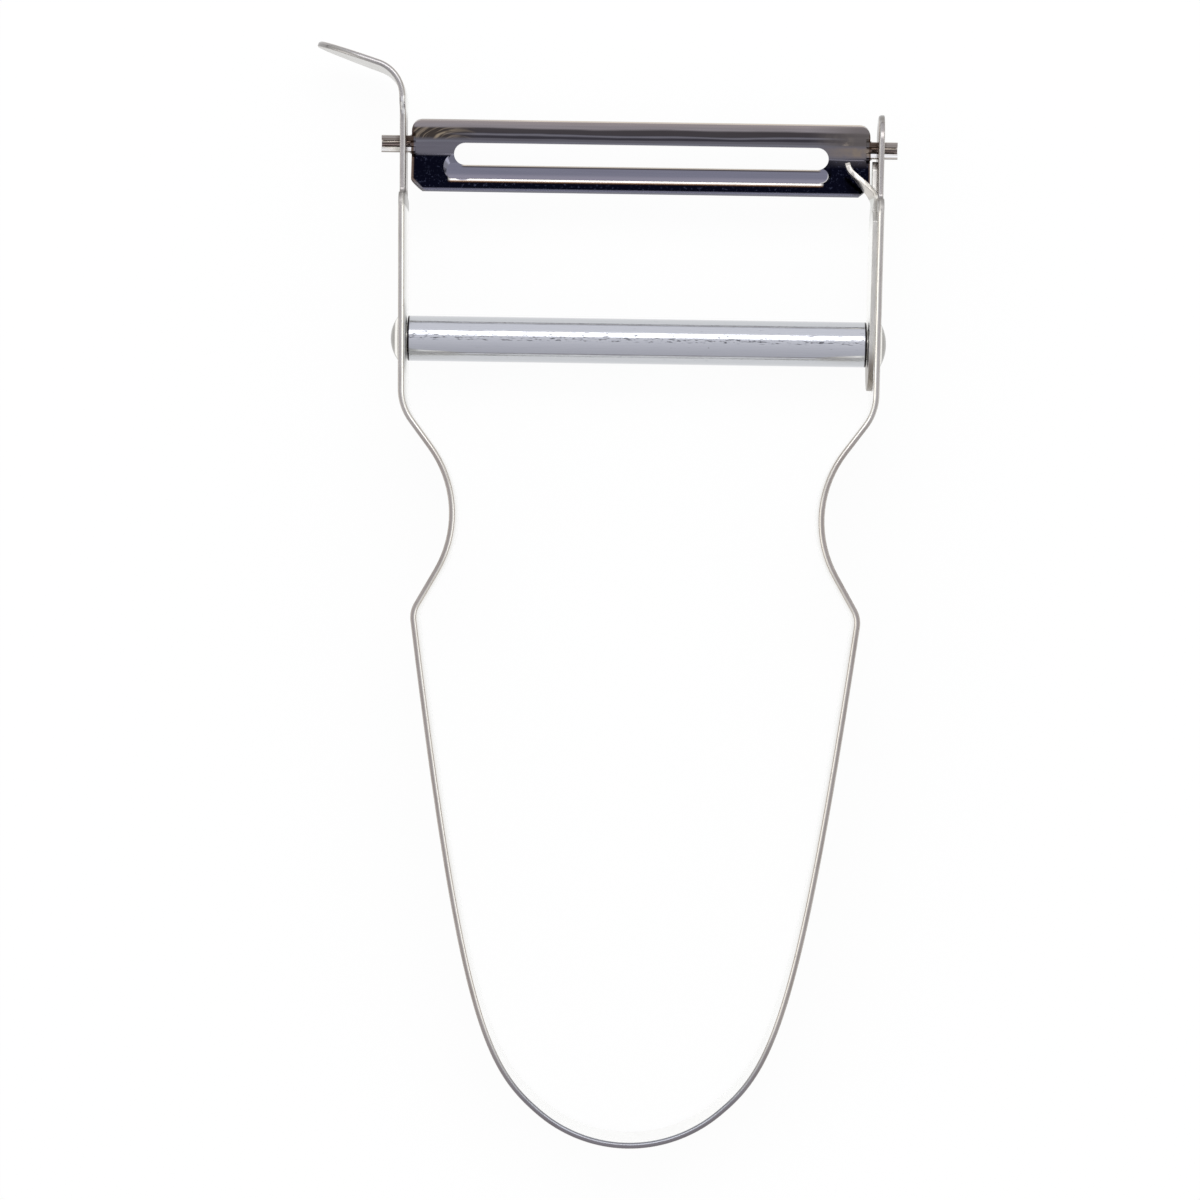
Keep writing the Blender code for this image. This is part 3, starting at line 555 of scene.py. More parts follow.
def makeLeaf(material):
    half = (leafHigh.z - leafLow.z) / 2
    middle = strap["armHalfWidth"] - strap["thickness"] - leaf["gap"] - leaf["thickness"] / 2
    middle += leaf["extra"] / 2
    top = pivot.y - leaf["topBelowPivot"]
    prongTop = pivot.y - leaf["prongTopBelowPivot"]
    back = middleDepth - leaf["earWidth"] / 2
    front = back + leaf["prongWidth"]
    corner, shoulder = leaf["prongCorner"], (half - leaf["earWidth"] / 2) / 2
    fingerBack = middleDepth + leaf["fingerDepth"] - leaf["fingerWidth"] / 2
    fingerFront = fingerBack + leaf["fingerWidth"]
    outline = []
    for step in reversed(range(33)):  # round the lower end, from the back to the front
        angle = math.pi * (0.5 + step / 32)
        rise, forward = half * math.cos(angle), half * math.sin(angle)
        outline.append((crossbarHeight + rise, middleDepth + forward))
    fingerCorner = len(outline) + 2
    outline += [
        (top - shoulder, middleDepth + half),
        (top, middleDepth + half - shoulder),
        (top, fingerFront),
        (top, fingerBack),
        (top + shoulder, front),
        (prongTop - corner, front),
        (prongTop, front - corner),
        (prongTop, back + corner),
        (prongTop - corner, back),
        (top + shoulder, back),
        (top, middleDepth - half + shoulder),
        (top - shoulder, middleDepth - half),
    ]
    bm = bmesh.new()
    verts = [bm.verts.new((middle, height, depth)) for height, depth in outline]
    flat = bm.faces.new(verts)
    bm.normal_update()
    root = bm.edges.get((verts[fingerCorner], verts[fingerCorner + 1]))

    elbow = Vector((middle - leaf["fingerReach"], pivot.y - leaf["fingerElbowBelowPivot"]))
    bend = Vector((middle, pivot.y - leaf["fingerBendBelowPivot"]))
    tip = elbow + leaf["tipLength"] * heading(math.pi / 2 + math.radians(leaf["tipLean"]))
    route = throughCorners(
        [Vector((middle, top)), bend, elbow, tip],
        [leaf["fingerBendRadius"], leaf["fingerElbowRadius"]],
    )[1:]
    stations = []
    for (point, angle), (after, turned) in zip(route, route[1:]):
        steps = max(1, round((after - point).length / leaf["stationGap"]))
        stations += [(point.lerp(after, step / steps), angle) for step in range(steps)]
    stations.append(route[-1])
    edge = root
    depth = middleDepth + leaf["fingerDepth"]
    for index, (point, angle) in enumerate(stations):
        risen = min(1.0, max(0.0, (point.y - bend.y) / leaf["twistRise"] + 0.5))
        upFinger = min(1.0, max(0.0, (point.y - bend.y) / (tip.y - bend.y)))
        twist = math.radians(leaf["footTwist"]) * (1 - upFinger) ** leaf["untwist"] * risen
        sideways = Vector((*heading(angle - math.pi / 2), 0.0))
        broad = Vector((0, 0, 1)) * math.cos(twist) - sideways * math.sin(twist)
        width = leaf["fingerWidth"] + leaf["fingerFootFlare"] * risen * (1 - upFinger)
        if index == len(stations) - 1:
            width = leaf["tipWidth"]
        centre = Vector((point.x, point.y, depth))
        edge = grow(bm, edge, [centre - broad * width / 2, centre + broad * width / 2])
    pierce(bm, [flat], (middle, crossbarHeight, middleDepth), leaf["rivetHole"])
    lean = math.tan(math.radians(strap["armLean"]))
    leaning = Matrix.Identity(4)
    leaning[0][1], leaning[0][3] = lean, -lean * crossbarHeight
    bmesh.ops.transform(bm, matrix=leaning, verts=bm.verts)
    bmesh.ops.recalc_face_normals(bm, faces=bm.faces)
    piece = toObject(bm, "clampedLeaf")
    thicken(piece, leaf["thickness"] + leaf["extra"], 0.0)
    roundEdges(piece, leaf["edgeRound"], 3)
    applyModifiers(piece)
    fingerFoot = (pivot.y - leaf["fingerBendBelowPivot"]) * mm

    def ridge(face):  # 1 on the finger's front ridge, 0.5 on its cut edge
        onFinger = face.center.y >= fingerFoot and face.center.z >= fingerBack * mm
        if not onFinger or face.normal.z < leaf["cutEdgeFacing"]:
            return 0.0
        return 1.0 if face.normal.z > leaf["ridgeFacing"] else 0.5 * (face.normal.x > 0)

    def flatSide(face):  # 1 on the side that looks to the tube
        return float(face.normal.x < leaf["flatFacing"])

    for name, measure in (("ridge", ridge), ("flat", flatSide)):
        storeNumber(piece, name, [measure(face) for face in piece.data.polygons], "FACE")
    finishPiece(piece, material, "stop_leaf", "handle")


# Blade

blade = dict(
    thickness=0.5, edgeRound=0.035, leftClearance=0.5, rightClearance=0.25,
    top=2.55, bandTop=0.45, bandBottom=-1.0, bottom=-4.85, bandDepth=-0.63,
    upperTilt=22.0, lowerTilt=18.0, bendRadius=0.8,
    upperCornerRadius=1.1, lowerCornerCut=1.2, lowerCornerCurve=1.3,
    slotLeftLand=4.4, slotRightLand=4.3, slotTop=0.25, slotBottom=-2.05,
    facetFoot=-3.52, facetSink=0.13, facetLeftOverrun=0.75, facetLeftRadius=1.3,
    facetUpperOverrun=0.2, facetSpread=0.8, facetReach=0.8, cuttingEdge=0.1,
    tongueRadius=0.9, tongueBore=0.4, tongueOpening=120.0, tongueRoot=0.4, tongueFillet=0.2,
    leastStation=0.02, slotCutter=4.0,
    # which faces the facet's cutter left: their reach, height off the facet and facing
    groundReach=1.0, groundDepths=(-0.1, 0.6), groundBack=-0.4, groundFacing=0.3,
    landFacing=(0.975, 0.995), stepHeight=0.1,
)
earInside = onArm(pivot.y).x - strap["thickness"]
blade["left"] = blade["leftClearance"] - earInside
blade["right"] = earInside - leaf["gap"] - leaf["thickness"] - blade["rightClearance"]
lowerSlope = math.tan(math.radians(blade["lowerTilt"]))


def landDepth(height, side):  # of the lower land: front is 1, middle 0, back -1
    middle = blade["bandDepth"] + (blade["bandBottom"] - height) * lowerSlope
    return middle + side * blade["thickness"] / 2 / math.cos(math.radians(blade["lowerTilt"]))


# the ground facet is a plane through these two points of the section (height, depth)
facetFoot = Vector((blade["facetFoot"], landDepth(blade["facetFoot"], 1) - blade["facetSink"]))
facetLip = Vector((blade["slotBottom"], landDepth(blade["slotBottom"], -1) + blade["cuttingEdge"]))
facetRise = facetLip - facetFoot
facetOut = Vector((-facetRise.y, facetRise.x)).normalized()


def bladeSection():
    upperSlope = math.tan(math.radians(blade["upperTilt"]))
    depth = blade["bandDepth"]
    corners = [
        Vector((blade["top"], depth + (blade["top"] - blade["bandTop"]) * upperSlope)),
        Vector((blade["bandTop"], depth)),
        Vector((blade["bandBottom"], depth)),
        Vector((blade["bottom"], landDepth(blade["bottom"], 0))),
    ]
    return [point for point, angle in throughCorners(corners, [blade["bendRadius"]] * 2)]


def bladeInset(height):
    radius, fillet = blade["upperCornerRadius"], blade["tongueFillet"]
    past = max(0.0, height - (blade["top"] - radius))
    inset = radius - math.sqrt(max(0.0, radius ** 2 - past ** 2))
    cut = blade["lowerCornerCut"]
    inset += cut * max(0.0, 1 - (height - blade["bottom"]) / cut) ** blade["lowerCornerCurve"]
    beside = (abs(height) - blade["tongueRadius"]) / fillet
    if beside < 1:
        inset -= fillet * (1 - math.sqrt(1 - (1 - max(0.0, beside)) ** 2))
    return inset


def bladeHeights():
    radius = blade["upperCornerRadius"]
    quarter = [math.pi / 2 * step / 8 for step in range(9)]
    extra = [blade["top"] - radius * (1 - math.cos(angle)) for angle in quarter]
    extra += [blade["bottom"] + blade["lowerCornerCut"] * step / 6 for step in range(1, 7)]
    for step in range(6):
        beside = blade["tongueRadius"] + blade["tongueFillet"] * step / 5
        extra += [beside, -beside]
    return extra


def makeBlank():
    section = bladeSection()
    points = list(section)
    for height in bladeHeights():
        for before, after in zip(section, section[1:]):
            if after.x < height < before.x:
                points.append(before.lerp(after, (before.x - height) / (before.x - after.x)))
    points.sort(key=lambda point: -point.x)
    kept = [points[0]]
    for point in points[1:]:
        if kept[-1].x - point.x > blade["leastStation"]:
            kept.append(point)
    bm = bmesh.new()
    edge = None
    for point in kept:
        inset = bladeInset(point.x)
        spots = [
            (x, pivot.y + point.x, middleDepth + point.y)
            for x in (blade["left"] + inset, blade["right"] - inset)
        ]
        verts = [bm.verts.new(spot) for spot in spots]
        if edge:
            bm.faces.new((edge[0], edge[1], verts[1], verts[0]))
        edge = verts
    bmesh.ops.recalc_face_normals(bm, faces=bm.faces)
    piece = toObject(bm, "polishedBlade")
    thicken(piece, blade["thickness"], 0.0)
    applyModifiers(piece)
    return piece


def obround(left, right, bottom, top):
    radius, middle, quarter = (top - bottom) / 2, (top + bottom) / 2, math.pi / 2
    rightEnd = arcAround(Vector((right - radius, middle)), radius, -quarter, quarter)
    return rightEnd + arcAround(Vector((left + radius, middle)), radius, quarter, 3 * quarter)


def facetOutline(slotLeft, slotRight, spread):
    # (x, distance up the facet), with a round right end and a flatter left one
    half, quarter = (facetRise.length + blade["facetUpperOverrun"]) / 2, math.pi / 2
    radius = blade["facetLeftRadius"]
    leftCentre = Vector((slotLeft - blade["facetLeftOverrun"] + radius, half))
    reach = math.asin((half + spread) / (radius + spread))
    rightEnd = arcAround(Vector((slotRight - half, half)), half + spread, -quarter, quarter)
    return rightEnd + arcAround(leftCentre, radius + spread, math.pi - reach, math.pi + reach)


def pushTool(name, outline, place, low, high, farOutline=None):
    # a cutter lofted between an outline at the low end and one at the high end
    bm = bmesh.new()
    edges = []
    for points, level in ((outline, low), (farOutline or outline, high)):
        verts = [bm.verts.new(place(point.x, point.y, level)) for point in points]
        ring = [bm.edges.new(pair) for pair in zip(verts, verts[1:] + verts[:1])]
        bm.faces.new(verts)
        edges += ring
    bmesh.ops.bridge_loops(bm, edges=edges)
    bmesh.ops.recalc_face_normals(bm, faces=bm.faces)
    return toObject(bm, name)


def makeBlade(material):
    piece = makeBlank()
    first = math.radians(180 + blade["tongueOpening"]) / 2
    last = first + math.tau - math.radians(blade["tongueOpening"])
    rolled = arcAround(Vector((0, 0)), blade["tongueRadius"], first, last, 36)
    rolled += arcAround(Vector((0, 0)), blade["tongueBore"], last, first, 36)

    def acrossBlade(height, depth, x):
        return (x, pivot.y + height, middleDepth + depth)

    for name, start, end in (
        ("leftTongue", bladeLow.x, blade["left"] + blade["tongueRoot"]),
        ("rightTongue", blade["right"] - blade["tongueRoot"], bladeHigh.x),
    ):
        carve(piece, pushTool(name, rolled, acrossBlade, start, end), "UNION")

    def throughBlade(x, height, depth):
        return (x, pivot.y + height, middleDepth + depth)

    slotLeft = blade["left"] + blade["slotLeftLand"]
    slotRight = blade["right"] - blade["slotRightLand"]
    slot = obround(slotLeft, slotRight, blade["slotBottom"], blade["slotTop"])
    reach = blade["slotCutter"]
    carve(piece, pushTool("slot", slot, throughBlade, -reach, reach), "DIFFERENCE")

    def onFacet(x, distance, away):
        spot = facetFoot + facetRise.normalized() * distance + facetOut * away
        return (x, pivot.y + spot.x, middleDepth + spot.y)

    outlines = [facetOutline(slotLeft, slotRight, spread) for spread in (0.0, blade["facetSpread"])]
    tool = pushTool("facet", outlines[0], onFacet, 0.0, blade["facetReach"], outlines[1])
    carve(piece, tool, "DIFFERENCE")
    roundEdges(piece, blade["edgeRound"], 2, degrees=30.0)
    applyModifiers(piece)
    middle = (slotLeft + slotRight) / 2
    halfLength = (slotRight - slotLeft) / 2 + blade["groundReach"]
    deepest, highest = blade["groundDepths"]
    landFrom, landTo = blade["landFacing"]

    def ground(face):  # 1 on the ground facet and its left end, 0.5 on the step at its foot
        spot = face.center.yz / mm - Vector((pivot.y, middleDepth))
        facing, depth = face.normal.yz.dot(facetOut), (spot - facetFoot).dot(facetOut)
        inside = abs(face.center.x / mm - middle) < halfLength and deepest < depth < highest
        turnedAway = facing < blade["groundFacing"] or landFrom < facing < landTo
        if not inside or turnedAway or spot.y < blade["groundBack"]:
            return 0.0
        if facing > landTo:
            return 1.0
        if spot.x < blade["facetFoot"] + blade["stepHeight"]:
            return 0.5
        return float(face.center.x < middle * mm)

    storeNumber(piece, "ground", [ground(face) for face in piece.data.polygons], "FACE")
    finishPiece(piece, material, "blade", "blade")


# Finishes: a place is (edge, softness) or (low, high, softness), in millimetres where it is
# a length, and a grain is given by its waves per millimetre along each axis

def ringRadius(across, up, name):
    # distance from a named centre, on axes that may be squeezed or stretched
    centre, stretch = across.sheet.paint[name]
    across, up = (across - centre[0]) * stretch[0], (up - centre[1]) * stretch[1]
    return (across * across + up * up).maths("SQRT")


strapPaint = dict(
    grain=(0.3, 11.0, 2.0), blotches=(0.4, 0.4, 0.4), pits=(4.0, 4.0, 3.0), pitsAt=(0.68, 0.06),
    # heights on the strap, then places forward and to the right
    limb=(9.0, 9.0), innerLimb=(20.0, 14.0), arm=(74.0, 4.0), front=(8.0, 8.0), right=(0.0, 1.0),
    # heights over the swivel axis, and the clamped seat's over the crossbar
    ledge=(-6.7, -4.9, 0.3), ear=(-5.3, 0.5), eye=(5.5, 3.0), earTip=(3.0, 0.3),
    # glint places a painted highlight on the left ear
    innerTip=(3.0, 1.0), paintedGlint=(3.0, 4.5, 0.4), seat=(-3.5, 3.5, 1.0),
    # from the outer face, 0, to the inner one, 1
    edgeIn=(0.06, 0.06), paintedGlintIn=(0.3, 0.1), cornerIn=(0.55, 0.12), paintedTanLineIn=(0.9, 0.97, 0.03),
    faceIn=(0.97, 0.04),
    # burnish is a painted tan reflection line along the limbs' inner corner
    outerFace=(0.50, 0.49, 0.47), bright=(1.0, 1.0, 1.0), paintedTanLine=(0.50, 0.43, 0.38),
    # edge and corner colours by zone are painted reflections: darker on the heel and eye, lighter
    # up the limbs and arms, with painted highlights in the arms' inner corners
    heelEdge=(0.25, 0.235, 0.25), limbEdge=(0.41, 0.375, 0.35), armEdge=(0.47, 0.45, 0.43),
    earEdge=(0.42, 0.40, 0.39), eyeEdge=(0.36, 0.35, 0.35),
    heelCorner=(0.30, 0.31, 0.34), limbCorner=(0.66, 0.64, 0.61), armCorner=(0.86, 0.85, 0.81),
    earCorner=(0.46, 0.45, 0.45),
    # inner face colours are painted reflections and painted shade: white where the face reflects
    # the floor, lighter on the right arm beside the leaf, dark on the ears
    heelFace=(0.99, 0.99, 0.98), limbFace=(0.70, 0.68, 0.64), armFace=(0.48, 0.48, 0.45),
    rightArmFace=(0.90, 0.90, 0.88), earFace=(0.16, 0.13, 0.11),
    worn=(0.78, 0.75, 0.72), wornAt=(0.42, 0.2), earTipShade=(0.18, 0.17, 0.16),
    ledgeShade=(0.33, 0.32, 0.31), pit=(0.20, 0.18, 0.175),
    roughness=(0.16, 0.30), dullness=0.28, bump=(0.12, 0.02),
)


def strapFinish():
    # the strip's edge, its rounded inner corner and its inner face each get their own painted
    # reflections and painted shade, zone by zone, with wear and pits over them
    sheet = NodeSheet(bpy.data.materials.new("strapSteel"), strapPaint)
    x, y, z = sheet.place()
    height = y - pivot.y
    run, inward = sheet.stored("along"), sheet.stored("inward")
    grain = sheet.noise((run, z, inward), "grain", detail=4.0)
    blotches = sheet.noise((x, y, z), "blotches")
    pits = sheet.noise((run, z, inward), "pits", detail=2.0).at("pitsAt")
    limb, arm, right = y.at("limb"), y.at("arm"), x.at("right")
    ledge, ear, eye = (height.at(name) for name in ("ledge", "ear", "eye"))
    # a painted highlight on the left ear's inner corner and edge
    paintedGlint = height.at("paintedGlint") * (1 - right)
    inside = inward.at("faceIn")

    # painted reflections on the edge and painted highlights in the corner, zone by zone
    edge = sheet.coats(
        "heelEdge", ("limbEdge", limb), ("armEdge", arm), ("earEdge", ear),
        ("eyeEdge", eye), ("bright", paintedGlint * inward.at("paintedGlintIn")),
    )
    corner = sheet.coats(
        "heelCorner", ("limbCorner", limb), ("armCorner", arm),
        ("earCorner", ear), ("bright", paintedGlint),
    )
    # the inner face: painted reflection of the floor on the heel and low down, painted light on the
    # right arm by the leaf, painted shade on the ears
    face = sheet.coats(
        "heelFace", ("limbFace", y.at("innerLimb")), ("armFace", arm),
        ("rightArmFace", arm * right), ("heelFace", 1 - z.at("front")),
        ("earFace", ear * (1 - height.at("innerTip"))),
    )
    # the outer face, the edge and corner colours, and a painted tan reflection line along the limbs
    colour = sheet.coats(
        "outerFace", (edge, inward.at("edgeIn")), (corner, inward.at("cornerIn")),
        ("paintedTanLine", inward.at("paintedTanLineIn") * limb),
    )
    kept = blotches * 0.5 + grain.at("wornAt") * 0.5
    colour = sheet.tint(colour, sheet.mix("worn", "bright", kept))
    colour = sheet.coats(
        colour, (face, inside), ("earTipShade", height.at("earTip") * right * 0.6),
        ("ledgeShade", ledge * 0.6), ("pit", pits * 0.5),
    )
    dull = ledge + inside * (y - crossbarHeight).at("seat")
    roughness = blotches.roughness() + dull * strapPaint["dullness"]
    return metal(sheet, colour, roughness, grain)


tubePaint = dict(
    streaks=(0.35, 9.0, 9.0), specks=(1.3, 6.0, 6.0), specksAt=(0.70, 0.05),
    scuffs=(0.57, 0.05), scuffed=(-0.2, 0.75, 0.15),  # the scuffed height over the axis
    steel=((0.54, 0.555, 0.59), (0.61, 0.62, 0.64)), speck=(0.04, 0.04, 0.05),
    # endShadow is a painted shadow at the tube's ends
    scuff=(0.03, 0.03, 0.04), endShadow=(0.012, 0.008, 0.01), endShadowWidth=(0.2, 0.06),
    roughness=(0.08, 0.16), bump=(0.15, 0.02),
)


def tubeFinish():
    sheet = NodeSheet(bpy.data.materials.new("tubeSteel"), tubePaint)
    x, y, z = sheet.place()
    streaks = sheet.noise((x, y, z), "streaks", detail=5.0)
    specks = sheet.noise((x, y, z), "specks", detail=4.0, roughness=0.7)
    scuffed = (y - crossbarHeight).at("scuffed")  # just under the tube's highlight
    colour = sheet.coats(
        sheet.blend("steel", streaks), ("speck", specks.at("specksAt") * 0.7),
        ("scuff", specks.at("scuffs") * scuffed * 0.8),
    )
    # a painted shadow in the gap at each end of the tube
    inside = (x - tubeLow.x).maths("MINIMUM", tubeHigh.x - x)
    colour = sheet.mix("endShadow", colour, inside.at("endShadowWidth"))
    return metal(sheet, colour, streaks.roughness(), streaks)


rivetPaint = dict(
    # ring is a painted highlight, and the darker crown and foot are painted shade
    mottle=(1.5, 1.5, 1.5), crown=((0.30, 0.29, 0.27), (0.36, 0.35, 0.33)),
    foot=(0.44, 0.43, 0.40), ring=(0.98, 0.96, 0.92),
    ringAt=(-0.78, -0.5, 0.12), crownAt=(-0.6, 0.1),  # measured back from the head's crown
    ringFront=(0.8, 0.5), roughness=(0.2, 0.35), bump=(0.3, 0.03),
)


def rivetFinish():
    # a painted highlight ring round each head's front, between the painted shade of its crown's
    # outline and of its foot by the strap
    sheet = NodeSheet(bpy.data.materials.new("rivetSteel"), rivetPaint)
    x, y, z = sheet.place()
    mottle = sheet.noise((x, y, z), "mottle")
    lower = rivetHigh.x - crossbar["seat"] - crossbar["rightRise"]
    fromCrown = x.size() + x.above(0.0, 1.0) * lower - rivetHigh.x
    ring = fromCrown.at("ringAt") * (z - middleDepth).at("ringFront")
    crown = sheet.blend("crown", mottle)
    colour = sheet.mix("foot", crown, fromCrown.at("crownAt"))
    colour = sheet.mix(colour, "ring", ring)
    return metal(sheet, colour, mottle.roughness(), mottle)


leafPaint = dict(
    streaks=(2.0, 0.4, 8.0), steel=((0.46, 0.45, 0.42), (0.60, 0.59, 0.56)),
    aboveFoot=(-1.5, 1.5), flatAt=(2.0, 2.0),  # heights over the crossbar
    shade=(-7.5, 2.0), prongAt=(-4.5, 0.0, 0.8), fingerAt=(-5.0, 0.6),  # over the swivel axis
    fingerFront=(1.0, 0.2), foot=(0.30, 0.27, 0.24), prong=(0.88, 0.86, 0.80),
    # flat is a painted reflection on the side that faces the tube, and finger a lighter painted
    # reflection on the finger's front
    flat=((0.98, 0.98, 0.96), (0.72, 0.73, 0.70)), finger=(0.66, 0.63, 0.59),
    # cutEdge is a painted reflection on the finger's cut edge, and ridge a painted highlight along
    # its front ridge
    cutEdge=(0.36, 0.38, 0.43), ridge=((0.40, 0.38, 0.35), (0.72, 0.69, 0.64)),
    cutEdgeAt=(0.25, 0.1), ridgeAt=(0.75, 0.1), ridgeMottle=(0.5, 0.2),
    roughness=(0.24, 0.38), bump=(0.2, 0.02),
)


def leafFinish():
    sheet = NodeSheet(bpy.data.materials.new("leafSteel"), leafPaint)
    x, y, z = sheet.place()
    height, overBar, ridge = y - pivot.y, y - crossbarHeight, sheet.stored("ridge")
    streaks = sheet.noise((x, y, z), "streaks", detail=4.0)
    steel = sheet.blend("steel", streaks)
    # painted reflections: on the side that faces the tube, and, lighter, on the finger's front
    flat = sheet.blend("flat", height.at("shade"))
    # a painted highlight along the finger's ridge, mottled, and a painted reflection on its cut
    # edge
    ridgeColour = sheet.blend("ridge", streaks.at("ridgeMottle"))
    finger = height.at("fingerAt") * (z - middleDepth).at("fingerFront")
    colour = sheet.coats(
        sheet.mix("foot", steel, overBar.at("aboveFoot")), ("prong", height.at("prongAt")),
        (flat, sheet.stored("flat") * overBar.at("flatAt")),
        ("finger", finger), ("cutEdge", ridge.at("cutEdgeAt")),
        (ridgeColour, ridge.at("ridgeAt")),
    )
    return metal(sheet, colour, streaks.roughness(), streaks)


bladePaint = dict(
    # heights count from the swivel axis, and ends from the blade's own ends
    drift=(0.08, 0.6, 0.6), streaks=(0.12, 5.0, 5.0), specks=(3.4, 3.4, 3.4),
    mottle=(0.9, 0.9, 0.9), leftEnd=(4.8, 4.0), rightEnd=(3.6, 4.0),
    roughness=(0.1, 0.2), bump=(0.08, 0.01),
    # the upper land, with its painted reflection stripes and its stains
    upperAt=(0.38, 0.2), upperSteel=(0.27, 0.28, 0.32),
    upperStripes=(
        ((0.16, 0.155, 0.175), (0.42, 0.3)), ((0.058, 0.054, 0.065), (0.76, 0.1)),
        ((0.215, 0.21, 0.235), (1.02, 1.2, 0.12)), ((0.078, 0.070, 0.074), (1.26, 0.12)),
    ),
    upperStreaks=((0.8, 0.78, 0.77), (1.15, 1.15, 1.15)),
    stainRound=((-19.0, -0.3), (0.6, 1.0)), stainRings=(4.5, 0.25, 0.0),
    leftStain=((0.07, 0.058, 0.05), (0.29, 0.24, 0.18)), leftRingsAt=(0.54, 0.1),
    leftLine=(0.40, 0.33, 0.23), leftLineAt=(1.72, 1.9, 0.1), leftLineBroken=(0.4, 0.2),
    leftStainAbove=(0.7, 0.3),
    rightStain=((0.065, 0.06, 0.06), (0.17, 0.15, 0.125)), rightStainAt=(0.55, 0.15),
    rightStainAbove=(0.4, 0.3),
    # topLand and brow are painted reflections along the top edge
    topLand=(0.36, 0.33, 0.335), topLandAt=(1.78, 0.2), brow=(0.44, 0.39, 0.375), browAt=(2.2, 0.3),
    rightShade=(0.20, 0.18, 0.17), rightShadeIn=(4.0, 5.0), rightShadeTop=(2.35, 0.1),
    topEdge=((0.36, 0.32, 0.30), (0.62, 0.54, 0.45)), topEdgeIn=(9.0, 8.0), topEdgeAt=(2.47, 0.05),
    # the middle band, with painted shade along its foot
    band=((0.125, 0.12, 0.14), (0.165, 0.16, 0.185)),
    bandTan=(0.23, 0.19, 0.155), bandTanAt=(-0.7, 0.3, 0.4), bandTanBroken=(0.35, 0.3),
    bandFootShade=(0.06, 0.058, 0.07), bandFootShadeAt=(-0.93, 0.15),
    bandRightFootShade=(0.05, 0.045, 0.05), bandRightFootShadeAt=(-0.95, 0.5),
    bandFade=(-1.0, 0.3), bandRightFade=(-1.35, 1.1),
    # the lower land, near-black as a painted dark reflection, a painted reflection along its bottom
    # edge, and the ground facet
    lower=((0.002, 0.0022, 0.006), (0.03, 0.034, 0.06)), lowerSpecks=(0.64, 0.12),
    lowerEdge=(0.11, 0.11, 0.145), lowerEdgeAt=(-4.58, 0.12),
    facet=((0.165, 0.165, 0.21), (0.21, 0.21, 0.26)), facetFoot=(0.26, 0.25, 0.30),
    facetFootAt=(-3.1, 0.3), scoopRound=((-18.64, -2.1), (1.0, 1.0)), scoopRadius=(1.63, 0.08),
    # the burr along the facet's foot, with a painted highlight on its crest and a brown line and a
    # dark line below it
    burrHighlight=(0.97, 0.94, 0.88), burrAt=(-3.94, -3.3, 0.05), burrIn=(4.0, 5.0, 0.4),
    burrStripes=(((0.34, 0.24, 0.17), (3.74, 0.05)), ((0.045, 0.022, 0.012), (3.84, 0.05))),
    # the step at the facet's foot gets a painted highlight
    stepHighlight=(0.97, 0.95, 0.90), stepAt=(0.25, 0.1), groundAt=(0.75, 0.1),
    # the blade's rim, and the dark and cream lines along the slot's lip
    leftRim=(0.22, 0.15), rightRim=(0.12, 0.08), cutRim=(0.3, 0.12),
    rim=((0.12, 0.115, 0.125), (0.115, 0.08, 0.062)), rimAt=(-3.9, 0.6),
    lipIn=(5.3, 5.2, 0.3),
    lipStripes=(((0.085, 0.075, 0.08), (-2.32, 0.06)), ((0.62, 0.56, 0.47), (-2.17, 0.05))),
    # the painted highlight outlining the facet's right end
    outline=(0.62, 0.61, 0.58), outlineRound=((5.2, -2.73), (1.0, 1.14)), outlineRadius=(0.8, 0.06),
    outlineIn=(5.2, 0.2), outlineBelow=(-2.6, 0.4),
    # the rolled tongues, with painted shade inside each channel and a painted highlight on its
    # lower inner wall
    tongue=((0.16, 0.12, 0.10), (0.46, 0.42, 0.38)), tongueEnd=(1.4, 0.7), tongueFrom=(0.04, 0.06),
    tongueStripes=(
        ((0.10, 0.08, 0.075), (-0.3, 0.15, 0.1)), ((0.97, 0.97, 0.95), (-0.78, -0.3, 0.08)),
    ),
    tongueWorn=((0.6, 0.56, 0.52), (1.0, 1.0, 1.0)), tongueWornAt=(0.45, 0.15),
    tongueFoot=(0.13, 0.11, 0.10), tongueFootAt=(-0.84, 0.05),
)


